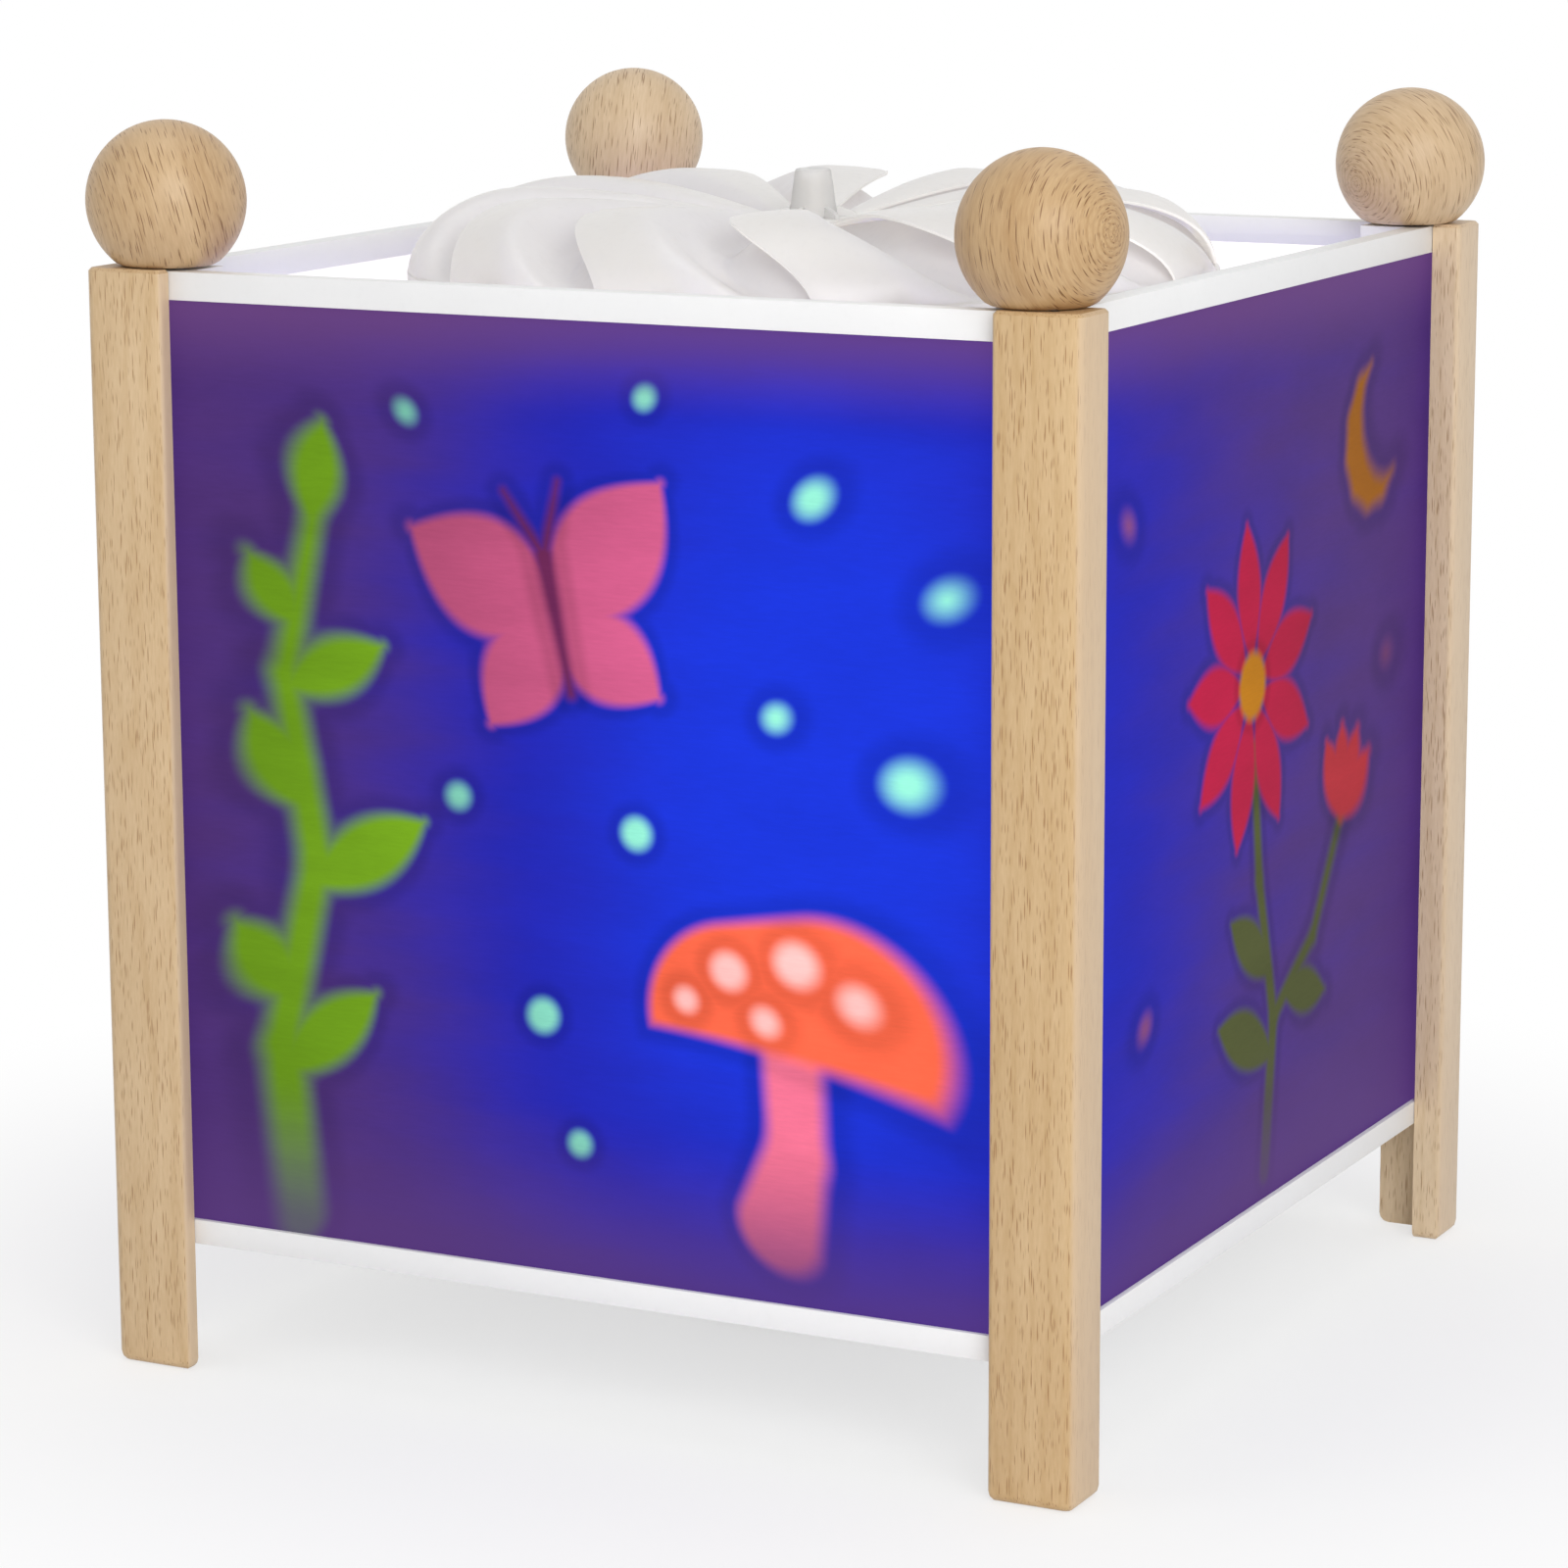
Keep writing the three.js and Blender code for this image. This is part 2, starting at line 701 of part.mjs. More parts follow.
// Outer outline of the glass from the neck to the crown, drawn in by a wall.
function glassOutline(wall) {
  const { glassRadius, neckRadius } = bulb;
  const radius = glassRadius - wall;
  const neck = neckRadius - wall;
  const rise = glassCentre - neckBottom;
  const shoulderShare = 0.45;
  const points = [[neck, neckBottom], [neck, collarTop]];
  const swell = new THREE.CubicBezierCurve(
    new THREE.Vector2(neck, collarTop),
    new THREE.Vector2(neck, collarTop + shoulderShare * (glassCentre - collarTop)),
    new THREE.Vector2(radius, glassCentre - shoulderShare * rise),
    new THREE.Vector2(radius, glassCentre),
  );
  for (const p of swell.getPoints(facets.bulbRingCount / 2).slice(1)) points.push([p.x, p.y]);
  for (let i = 1; i <= facets.bulbRingCount / 2; i++) {
    const a = (i / (facets.bulbRingCount / 2)) * (Math.PI / 2);
    points.push([radius * Math.cos(a), glassCentre + radius * Math.sin(a)]);
  }
  points[points.length - 1][0] = 0;
  return points;
}

function makeBulb() {
  piece(
    "bulb_glass",
    turned([...glassOutline(0), ...glassOutline(bulb.glassWall).reverse()], facets.lampCount),
    clearGlass,
  );
  const { capRadius, capRootRadius, capWall, collarRadius, threadPitch, threadTurns } = bulb;
  const outside = [[bulb.tipRadius + capWall, capBottom], [capRootRadius - capWall, capBottom]];
  for (let i = 0; i < threadTurns; i++) {
    const z = capBottom + (i + 0.5) * threadPitch;
    outside.push([capRootRadius, z - threadPitch / 4], [capRadius, z], [capRootRadius, z + threadPitch / 4]);
  }
  outside.push([capRadius, collarBottom], [collarRadius, collarBottom + capWall], [collarRadius, collarTop]);
  const neckFit = bulb.neckRadius + seatGap;
  const inside = [
    [neckFit, collarTop],
    [neckFit, neckBottom - seatGap],
    [capRootRadius - 2 * capWall, neckBottom - seatGap],
    [capRootRadius - 2 * capWall, capBottom + capWall],
    [bulb.tipRadius + capWall, capBottom + capWall],
  ];
  piece("bulb_cap", turned([...outside, ...inside], facets.lampCount), nickel);
  const tipFit = bulb.tipRadius + capWall - seatGap;
  piece(
    "bulb_tip",
    turned(
      [
        [0, tipBottom],
        [tipFit / 2, tipBottom],
        [bulb.tipRadius, capBottom - seatGap],
        [tipFit, capBottom],
        [tipFit, capBottom + 2 * capWall],
        [0, capBottom + 2 * capWall],
      ],
      facets.smallCount,
    ),
    blackPlastic,
  );
}

function makeFilament() {
  const { neckRadius, glassWall, stemRadius, leadRadius, leadSpread, filamentRise, filamentWaveCount } = bulb;
  const flare = neckRadius - glassWall - seatGap;
  const leadAtStem = stemRadius / 2;
  const stem = turned(
    [
      [0, neckBottom],
      [flare, neckBottom],
      [flare, neckBottom + leadRadius],
      [stemRadius, collarTop],
      [stemRadius, stemTop],
      [0, stemTop],
    ],
    facets.smallCount,
  );
  const sockets = [-1, 1].map((side) =>
    rod(leadRadius + seatGap, stemTop - 2 * stemRadius, stemTop + cutOverrun, facets.smallCount)
      .translate(side * leadAtStem, 0, 0),
  );
  piece("bulb_stem", cut(stem, ...sockets), clearGlass);
  const leadBottom = stemTop - 2 * stemRadius + seatGap;
  const points = [[-leadAtStem, leadBottom], [-leadAtStem, stemTop], [-leadAtStem, stemTop + filamentRise]];
  const top = glassCentre + filamentRise;
  for (let i = 0; i <= 2 * filamentWaveCount; i++) {
    const across = (i / filamentWaveCount - 1) * leadSpread;
    points.push([across, top - (i % 2) * filamentRise]);
  }
  points.push([leadAtStem, stemTop + filamentRise], [leadAtStem, stemTop], [leadAtStem, leadBottom]);
  const curve = new THREE.CatmullRomCurve3(points.map(([x, z]) => new THREE.Vector3(x, 0, z)));
  piece("filament", wire(curve, leadRadius, facets.leadStepCount), tungsten);
}

// A point of a petal's middle surface: along from hub to rim, across from leading to
// trailing edge, both from 0 to 1.
function petalPoint(along, across) {
  const { rootRadius, skirtWall, crestRise, trailRise } = turbine;
  const innerShare = facets.bladeAlongCount / (facets.bladeAlongCount + facets.bladeRoundCount);
  const reach = rimRadius - skirtWall / 2 - crestRadius;
  const roll = Math.max(0, (along - innerShare) / (1 - innerShare));
  const angle = THREE.MathUtils.degToRad(turbine.rimTurnDeg) * roll;
  const inner = Math.min(1, along / innerShare);
  const radius = rootRadius + (crestRadius - rootRadius) * inner + reach * Math.sin(angle);
  const root = rootHeight - (hub.collarThickness / 2) * (1 + across / 2);
  const valley = turbine.valleyDepth * Math.sin(across * Math.PI);
  const summit = rimTop + crestRise + (trailRise - crestRise) * across - valley;
  const crest = root + (summit - root) * Math.sin((inner * Math.PI) / 2);
  const fall = (1 - across) * Math.cos(angle) + across * (1 - Math.sin(angle));
  const shoulder = rimTop - turbine.shoulderDrop;
  const height = shoulder + (crest - shoulder) * fall;
  const sweepShare = Math.max(0, radius - sweepStart) / (rimRadius - sweepStart);
  const turn = THREE.MathUtils.degToRad(
    across * (360 / turbine.bladeCount + turbine.overlapDeg) + turbine.sweepDeg * sweepShare ** 2,
  );
  return new THREE.Vector3(radius * Math.cos(turn), radius * Math.sin(turn), height);
}

function petalNormal(along, across) {
  const step = 1e-3;
  const a = petalPoint(Math.min(1, along + step), across).sub(petalPoint(Math.max(0, along - step), across));
  const b = petalPoint(along, Math.min(1, across + step)).sub(petalPoint(along, Math.max(0, across - step)));
  return a.cross(b).normalize();
}

// One petal as a closed sheet of even thickness.
function petalGeometry() {
  const rows = facets.bladeAlongCount + facets.bladeRoundCount;
  const columns = facets.bladeAcrossCount;
  const position = [];
  for (const side of [1, -1])
    for (let i = 0; i <= rows; i++)
      for (let j = 0; j <= columns; j++) {
        const [u, v] = [i / rows, j / columns];
        const p = petalPoint(u, v).addScaledVector(petalNormal(u, v), (side * turbine.bladeWall) / 2);
        position.push(...p.toArray());
      }
  const width = columns + 1;
  const sheet = width * (rows + 1);
  const index = [];
  const quad = (a, b, c, d) => index.push(a, b, c, a, c, d);
  for (let i = 0; i < rows; i++)
    for (let j = 0; j < columns; j++) {
      const a = i * width + j;
      quad(a, a + width, a + width + 1, a + 1);
      quad(sheet + a, sheet + a + 1, sheet + a + width + 1, sheet + a + width);
    }
  for (let i = 0; i < rows; i++) {
    const [a, b] = [i * width, i * width + columns];
    quad(a, sheet + a, sheet + a + width, a + width);
    quad(b, b + width, sheet + b + width, sheet + b);
  }
  for (let j = 0; j < columns; j++) {
    const [a, b] = [j, rows * width + j];
    quad(a, a + 1, sheet + a + 1, sheet + a);
    quad(b, sheet + b, sheet + b + 1, b + 1);
  }
  const geometry = new THREE.BufferGeometry();
  geometry.setAttribute("position", new THREE.Float32BufferAttribute(position, 3));
  geometry.setIndex(index);
  return geometry;
}

function makeTurbine() {
  const { bladeCount, firstBladeDeg, skirtWall, skirtHeight } = turbine;
  const petals = Array.from({ length: bladeCount }, (_, i) =>
    petalGeometry().rotateZ(THREE.MathUtils.degToRad(firstBladeDeg + (360 * i) / bladeCount)),
  );
  const skirt = ring(rimRadius - skirtWall, rimRadius, rimTop - skirtHeight, rimTop, facets.rimCount);
  const boss = turned(
    [
      [0, collarUnderside - hub.noseLength],
      [hub.capFootRadius, collarUnderside - hub.noseLength],
      [hub.capFootRadius, collarUnderside],
      [hub.collarRadius, collarUnderside],
      [hub.collarRadius, rootHeight],
      [hub.capFootRadius, rootHeight],
      [hub.capTopRadius, capTop - hub.capRound],
      [hub.capTopRadius - hub.capRound, capTop],
      [0, capTop],
    ],
    facets.lampCount,
  );
  const bore = rod(hub.boreRadius, collarUnderside - hub.noseLength - cutOverrun, hubBoreTop, facets.lampCount);
  const rotor = cut(join(skirt, ...petals, boss), bore);
  piece("turbine", rotor, frostedPlastic, carousel);
  piece(
    "bearing_cup",
    turned(
      [
        [cup.socketRadius, cupBottom],
        [cupRadius, cupBottom],
        [cupRadius, cupTop],
        [0, cupTop],
        [0, cupTop - cup.crown],
        [cup.socketTop, cupTop - cup.crown],
      ],
      facets.lampCount,
    ),
    brass,
    carousel,
  );
}

function makeDrum() {
  piece("drum_film", ring(drumInner, drumOuter, drumBottom, drumTop, facets.rimCount), printedFilm, carousel);
  const hoopOuter = drumInner - seatGap;
  piece(
    "drum_top_hoop",
    ring(hoopOuter - topHoop.wall, hoopOuter, drumTop - topHoop.height, drumTop, facets.rimCount),
    hoopPlastic,
    carousel,
  );
  const { lip, lipHeight, floor } = bottomHoop;
  const [slotInner, slotOuter] = [drumInner - seatGap, drumOuter + seatGap];
  const slotFloor = drumBottom - seatGap;
  piece(
    "drum_bottom_hoop",
    turned(
      [
        [slotInner - lip, slotFloor - floor],
        [slotOuter + lip, slotFloor - floor],
        [slotOuter + lip, slotFloor + lipHeight],
        [slotOuter, slotFloor + lipHeight],
        [slotOuter, slotFloor],
        [slotInner, slotFloor],
        [slotInner, slotFloor + lipHeight],
        [slotInner - lip, slotFloor + lipHeight],
      ],
      facets.rimCount,
    ),
    hoopPlastic,
    carousel,
  );
}

function makeCover() {
  const { radius, wall, lugReach, lugWidth, lugThickness } = cover;
  const lugs = [-1, 1].map((side) =>
    box(...span(side, radius - wall, radius + lugReach), -lugWidth / 2, lugWidth / 2,
      coverTop - lugThickness, coverTop),
  );
  const body = join(rod(radius, coverBottom, coverTop, facets.lampCount), ...lugs);
  const hollow = rod(radius - wall, coverBottom + wall, coverTop + cutOverrun, facets.lampCount);
  const glandHole = rod(gland.barrelRadius + seatGap, 0, radius + cutOverrun, facets.smallCount)
    .rotateX(-Math.PI / 2)
    .translate(0, 0, glandHeight);
  const screwHoles = [-1, 1].map((side) =>
    rod(coverScrew.shankRadius + seatGap, coverTop - lugThickness - cutOverrun, coverTop + cutOverrun,
      facets.smallCount).translate(side * coverScrewRadius, 0, 0),
  );
  piece("terminal_cover", cut(body, hollow, glandHole, ...screwHoles), bakelite);
  const headTop = coverTop - lugThickness - seatGap;
  const tip = base.underside + coverScrew.bite;
  for (const [name, side] of [["left", -1], ["right", 1]]) {
    const screw = screwGeometry(coverScrew.shankRadius, headTop, tip, coverScrew.headRadius,
      coverScrew.headHeight, coverScrew.shankRadius);
    piece("cover_screw_" + name, screw, steel).position.set(side * coverScrewRadius, 0, 0);
  }
}

// The gland lies along +Y at the back of the cover, where the cord would leave.
function makeGland() {
  const wallFace = cover.radius + seatGap;
  const innerFace = Math.sqrt((cover.radius - cover.wall) ** 2 - gland.nutRadius ** 2) - restGap;
  const lay = (geometry) => geometry.rotateX(-Math.PI / 2).translate(0, 0, glandHeight);
  piece(
    "cord_gland",
    lay(
      turned(
        [
          [gland.boreRadius, innerFace - gland.insideLength],
          [gland.barrelRadius, innerFace - gland.insideLength],
          [gland.barrelRadius, wallFace],
          [gland.flangeRadius, wallFace],
          [gland.flangeRadius, wallFace + gland.flangeThickness],
          [gland.noseRadius, wallFace + gland.flangeThickness],
          [gland.boreRadius + restGap, wallFace + gland.noseLength],
          [gland.boreRadius, wallFace + gland.noseLength],
        ],
        facets.smallCount,
      ),
    ),
    blackPlastic,
  );
  piece(
    "gland_nut",
    lay(ring(gland.barrelRadius + seatGap, gland.nutRadius, innerFace - gland.nutHeight, innerFace,
      facets.smallCount)),
    blackPlastic,
  );
}

makePosts();
makeTopFrame();
makeFinials();
makePanels();
makeBasePlate();
makeHolder();
makeHolderFastenings();
makeArch();
makeBulb();
makeFilament();
makeTurbine();
makeDrum();
makeCover();
makeGland();

export default lantern;
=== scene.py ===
"""Looks of the carousel night light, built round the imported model.

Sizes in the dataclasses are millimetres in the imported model's frame, unless a class says metres.
What reaches Blender is metres.
"""

from __future__ import annotations

import json
import logging
import math
from collections.abc import Iterable, Sequence
from dataclasses import dataclass
from enum import Enum
from typing import Any

import bmesh
import bpy
from mathutils import Matrix, Vector

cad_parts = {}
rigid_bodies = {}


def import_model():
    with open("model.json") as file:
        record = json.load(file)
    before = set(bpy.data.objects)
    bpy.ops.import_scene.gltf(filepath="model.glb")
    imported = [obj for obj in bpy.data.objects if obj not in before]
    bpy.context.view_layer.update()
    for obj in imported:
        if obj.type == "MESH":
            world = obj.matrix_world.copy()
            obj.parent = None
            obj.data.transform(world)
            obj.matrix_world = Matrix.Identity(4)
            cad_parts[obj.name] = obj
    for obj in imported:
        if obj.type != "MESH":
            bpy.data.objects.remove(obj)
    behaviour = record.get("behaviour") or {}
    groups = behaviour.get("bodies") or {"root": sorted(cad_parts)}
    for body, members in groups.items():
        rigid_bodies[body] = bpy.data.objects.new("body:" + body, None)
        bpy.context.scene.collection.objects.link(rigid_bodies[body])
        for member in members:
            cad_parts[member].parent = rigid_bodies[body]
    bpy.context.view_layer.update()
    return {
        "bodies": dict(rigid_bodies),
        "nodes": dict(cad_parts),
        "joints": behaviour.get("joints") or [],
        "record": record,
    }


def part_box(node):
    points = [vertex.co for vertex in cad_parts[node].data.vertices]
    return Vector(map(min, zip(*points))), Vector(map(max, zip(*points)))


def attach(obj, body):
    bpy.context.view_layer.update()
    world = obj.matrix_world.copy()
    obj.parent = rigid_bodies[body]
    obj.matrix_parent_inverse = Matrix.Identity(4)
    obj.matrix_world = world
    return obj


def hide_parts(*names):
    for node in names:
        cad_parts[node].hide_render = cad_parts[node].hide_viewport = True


LOG = logging.getLogger("night_light")
MM = 0.001
Colour = tuple[float, float, float]
Profile = Sequence[tuple[float, float]]
Shape = tuple[list[Any], list[tuple[int, ...]]]
Material = bpy.types.Material
Piece = bpy.types.Object
Socket = bpy.types.NodeSocket


def tint(red: int, green: int, blue: int) -> Colour:
    """A colour as a screen shows it, turned into linear light.

    Args:
        red: Screen value from 0 to 255.
        green: Screen value from 0 to 255.
        blue: Screen value from 0 to 255.

    Returns:
        The linear red, green and blue.
    """
    shares = (value / 255 for value in (red, green, blue))
    return tuple(s / 12.92 if s <= 0.04045 else ((s + 0.055) / 1.055) ** 2.4 for s in shares)


def toward(azimuth: float, elevation: float) -> Vector:
    """The direction to a viewer at these degrees round from the front and up from the floor."""
    az, el = math.radians(azimuth), math.radians(elevation)
    return Vector((math.sin(az) * math.cos(el), -math.cos(az) * math.cos(el), math.sin(el)))


class Sketch:
    """Fills a node tree by short calls; sockets, numbers and colours all serve as inputs."""

    def __init__(self, tree: bpy.types.NodeTree) -> None:
        """Keeps the tree.

        Args:
            tree: The node tree that is filled.
        """
        self.tree = tree

    def put(self, kind: str, inputs: dict[Any, Any] | None = None, **settings: Any) -> bpy.types.Node:
        """Adds a node.

        Args:
            kind: Blender's name of the node type.
            inputs: What each input gets, by name or number.
            **settings: Properties of the node.

        Returns:
            The new node.
        """
        node = self.tree.nodes.new(kind)
        for name, value in settings.items():
            setattr(node, name, value)
        self.fill(node, inputs or {})
        return node

    def fill(self, node: bpy.types.Node, inputs: dict[Any, Any]) -> None:
        """Feeds several inputs of a node, by name or number."""
        for key, value in inputs.items():
            self.feed(node.inputs[key], value)

    def feed(self, socket: Socket, value: Any) -> None:
        """Links a socket to an input, or sets the input's own value.

        Args:
            socket: The input.
            value: A socket, a number, a vector or a colour.
        """
        if isinstance(value, Socket):
            self.tree.links.new(value, socket)
        elif hasattr(value, "__len__") and len(socket.default_value) == 4:
            socket.default_value = (*value, 1.0)[:4]
        else:
            socket.default_value = value

    def math(self, operation: str, *values: Any, clamp: bool = False) -> Socket:
        """Adds a Math node and gives its output."""
        node = self.put("ShaderNodeMath", dict(enumerate(values)), operation=operation, use_clamp=clamp)
        return node.outputs[0]

    def plus(self, *values: Any, clamp: bool = False) -> Socket:
        """The sum of two numbers."""
        return self.math("ADD", *values, clamp=clamp)

    def minus(self, *values: Any, clamp: bool = False) -> Socket:
        """The first number less the second."""
        return self.math("SUBTRACT", *values, clamp=clamp)

    def times(self, *values: Any, clamp: bool = False) -> Socket:
        """The product of two numbers."""
        return self.math("MULTIPLY", *values, clamp=clamp)

    def over(self, *values: Any, clamp: bool = False) -> Socket:
        """The first number divided by the second."""
        return self.math("DIVIDE", *values, clamp=clamp)

    def line(self, value: Any, slope: Any, start: Any) -> Socket:
        """A number times a slope, plus a start."""
        return self.math("MULTIPLY_ADD", value, slope, start)

    def vector(self, operation: str, *values: Any) -> Socket:
        """Adds a Vector Math node and gives its output."""
        node = self.put("ShaderNodeVectorMath", dict(enumerate(values)), operation=operation)
        return node.outputs["Value" if operation in ("DOT_PRODUCT", "LENGTH", "DISTANCE") else "Vector"]

    def scaled(self, vector: Any, factor: Any) -> Socket:
        """Multiplies a vector by a number."""
        node = self.put("ShaderNodeVectorMath", {0: vector, "Scale": factor}, operation="SCALE")
        return node.outputs["Vector"]

    def step(self, value: Any, start: float, end: float) -> Socket:
        """A smooth climb from 0 at start to 1 at end; start may be above end."""
        inputs = {0: value, 1: start, 2: end}
        return self.put("ShaderNodeMapRange", inputs, interpolation_type="SMOOTHSTEP").outputs[0]

    def mix(self, share: Any, first: Any, second: Any) -> Socket:
        """Mixes two colours by a share."""
        node = self.put("ShaderNodeMix", {0: share, 6: first, 7: second}, data_type="RGBA")
        return node.outputs[2]

    def noise(self, vector: Any, scale: float, detail: float = 2.0) -> Socket:
        """Smooth noise around one half."""
        node = self.put("ShaderNodeTexNoise", {"Vector": vector, "Scale": scale, "Detail": detail})
        return node.outputs[0]

    def stretched(self, vector: Any, factors: Sequence[float]) -> Socket:
        """Multiplies a vector by a factor along each axis."""
        return self.vector("MULTIPLY", vector, tuple(factors))

    def split(self, vector: Any) -> tuple[Socket, ...]:
        """The three parts of a vector."""
        return tuple(self.put("ShaderNodeSeparateXYZ", {0: vector}).outputs)

    def joined(self, x: Any, y: Any, z: Any) -> Socket:
        """A vector of three parts."""
        return self.put("ShaderNodeCombineXYZ", {0: x, 1: y, 2: z}).outputs[0]


class Effect:
    """A node group with named inputs and outputs, built once and placed in several materials."""

    def __init__(self, name: str, inputs: dict[str, Any], outputs: dict[str, str]) -> None:
        """Makes the group's sockets.

        Args:
            name: The group's name.
            inputs: Each input's name and its usual value.
            outputs: Each output's name and its kind: Float, Color or Vector.
        """
        self.tree = bpy.data.node_groups.new(name, "ShaderNodeTree")
        for label, usual in inputs.items():
            single = isinstance(usual, (int, float))
            kind = "Float" if single else "Vector" if isinstance(usual, Vector) else "Color"
            socket = self.tree.interface.new_socket(
                label, in_out="INPUT", socket_type="NodeSocket" + kind
            )
            socket.default_value = (*usual, 1.0) if kind == "Color" else usual
        for label, kind in outputs.items():
            self.tree.interface.new_socket(label, in_out="OUTPUT", socket_type="NodeSocket" + kind)
        self.sketch = Sketch(self.tree)
        self.given = self.tree.nodes.new("NodeGroupInput").outputs
        self.result = self.tree.nodes.new("NodeGroupOutput").inputs

    def give(self, **values: Socket) -> None:
        """Links the group's outputs; an underscore in a name stands for a space."""
        for label, value in values.items():
            self.tree.links.new(value, self.result[label.replace("_", " ")])

    def place(self, sketch: Sketch, inputs: dict[str, Any]) -> Any:
        """Adds the group to a tree and gives its outputs."""
        return sketch.put("ShaderNodeGroup", inputs, node_tree=self.tree).outputs


def beech_effect() -> Effect:
    """Beech: fibres along the vector's Z, year rings across Depth, and the short dark flecks of its rays.

    Returns:
        The node group; Place and Depth are in millimetres.
    """
    effect = Effect(
        "beech",
        {
            "Place": Vector(), "Depth": 0.0, "Ring": 2.2, "Light": (0.6, 0.45, 0.26),
            "Dark": (0.4, 0.25, 0.12), "Deep": (0.3, 0.18, 0.08), "Ring Mark": 0.2, "Fleck": 1.0,
        },
        {"Color": "Color", "Roughness": "Float", "Height": "Float"},
    )
    s, given = effect.sketch, effect.given
    place = given["Place"]
    wander = s.line(s.noise(s.stretched(place, (0.11, 0.11, 0.03)), 1.0), 2.4, -1.2)
    turns = s.plus(s.over(given["Depth"], given["Ring"]), wander)
    wave = s.line(s.math("SINE", s.times(turns, 2 * math.pi)), 0.5, 0.5)
    ring = s.times(s.math("POWER", wave, 3.0), given["Ring Mark"])
    fibre = s.noise(s.stretched(place, (3.4, 3.4, 0.5)), 1.0, 4.0)
    cloud = s.noise(s.stretched(place, (0.16, 0.16, 0.035)), 1.0, 2.0)
    share = s.line(fibre, 0.9, 0.12)
    share = s.plus(share, s.line(cloud, 0.8, -0.4))
    share = s.minus(share, ring, clamp=True)
    body = s.mix(share, given["Dark"], given["Light"])
    masks = []
    small_and_large = (((3.0, 3.0, 0.19), 0.36), ((4.0, 4.0, 0.30), 0.32))
    for cells, reach in small_and_large:
        cell = s.put("ShaderNodeTexVoronoi", {"Vector": s.stretched(place, cells), "Scale": 1.0})
        keep = s.step(s.split(cell.outputs["Color"])[0], 0.30, 0.62)
        mark = s.step(cell.outputs["Distance"], reach, reach * 0.4)
        masks.append(s.times(mark, keep))
    flecks = s.times(s.math("MAXIMUM", *masks), given["Fleck"], clamp=True)
    effect.give(
        Color=s.mix(flecks, body, given["Deep"]),
        Roughness=s.line(fibre, 0.25, 0.36),
        Height=s.minus(s.times(fibre, 0.5), flecks),
    )
    return effect


def moulded_effect() -> Effect:
    """Moulded or sprayed plastic: a fine skin, slow changes of tone and a little dust.

    Returns:
        The node group; Place is in millimetres.
    """
    effect = Effect(
        "moulded",
        {"Place": Vector(), "Body": (0.8, 0.8, 0.8), "Gloss": 0.4, "Unevenness": 1.0},
        {"Color": "Color", "Roughness": "Float", "Height": "Float"},
    )
    s, given = effect.sketch, effect.given
    place = given["Place"]
    slow = s.noise(place, 0.045, 2.0)
    skin = s.noise(place, 2.4, 3.0)
    dust = s.times(s.step(s.noise(place, 0.7, 5.0), 0.5, 0.8), given["Unevenness"])
    tone = s.line(slow, 0.07, 0.95)
    body = s.mix(s.times(dust, 0.10), s.scaled(given["Body"], tone), (0.42, 0.40, 0.38))
    rough = s.plus(given["Gloss"], s.times(dust, 0.18))
    effect.give(
        Color=body,
        Roughness=s.plus(rough, s.line(skin, 0.12, -0.06)),
        Height=s.line(slow, 0.3, skin),
    )
    return effect


def turned_metal_effect() -> Effect:
    """Turned metal: fine marks round it and slow dull stains.

    Returns:
        The node group; Place is in millimetres.
    """
    effect = Effect(
        "turned_metal",
        {"Place": Vector(), "Body": (0.7, 0.7, 0.7), "Rough": 0.3},
        {"Color": "Color", "Roughness": "Float", "Height": "Float"},
    )
    s, given = effect.sketch, effect.given
    marks = s.noise(s.stretched(given["Place"], (0.4, 0.4, 7.0)), 1.0, 3.0)
    stain = s.step(s.noise(given["Place"], 0.35, 4.0), 0.4, 0.75)
    effect.give(
        Color=s.mix(s.times(stain, 0.35), given["Body"], s.scaled(given["Body"], 0.6)),
        Roughness=s.plus(given["Rough"], s.line(marks, 0.2, -0.1)),
        Height=marks,
    )
    return effect


def haze_effect() -> Effect:
    """A slow haze on glass or clear plastic.

    Returns:
        The node group; Place is in millimetres.
    """
    effect = Effect(
        "haze",
        {"Place": Vector(), "Body": (0.9, 0.9, 0.9), "Rough": 0.1},
        {"Color": "Color", "Roughness": "Float"},
    )
    s, given = effect.sketch, effect.given
    haze = s.step(s.noise(given["Place"], 0.25, 4.0), 0.35, 0.8)
    effect.give(
        Color=s.mix(s.times(haze, 0.1), given["Body"], s.scaled(given["Body"], 0.9)),
        Roughness=s.line(haze, 0.06, given["Rough"]),
    )
    return effect


def thin_sheet_effect() -> Effect:
    """The drawing lines and paler patches of a thin sheet that light shines through.

    Returns:
        The node group; Place is in millimetres.
    """
    effect = Effect("thin_sheet", {"Place": Vector()}, {"Tone": "Float", "Height": "Float"})
    s, place = effect.sketch, effect.given["Place"]
    lines = s.noise(s.stretched(place, (0.35, 0.35, 3.2)), 1.0, 3.0)
    patch = s.noise(s.stretched(place, (0.05, 0.05, 0.11)), 1.0, 3.0)
    effect.give(Tone=s.line(lines, 0.16, s.line(patch, 0.22, 0.81)), Height=lines)
    return effect


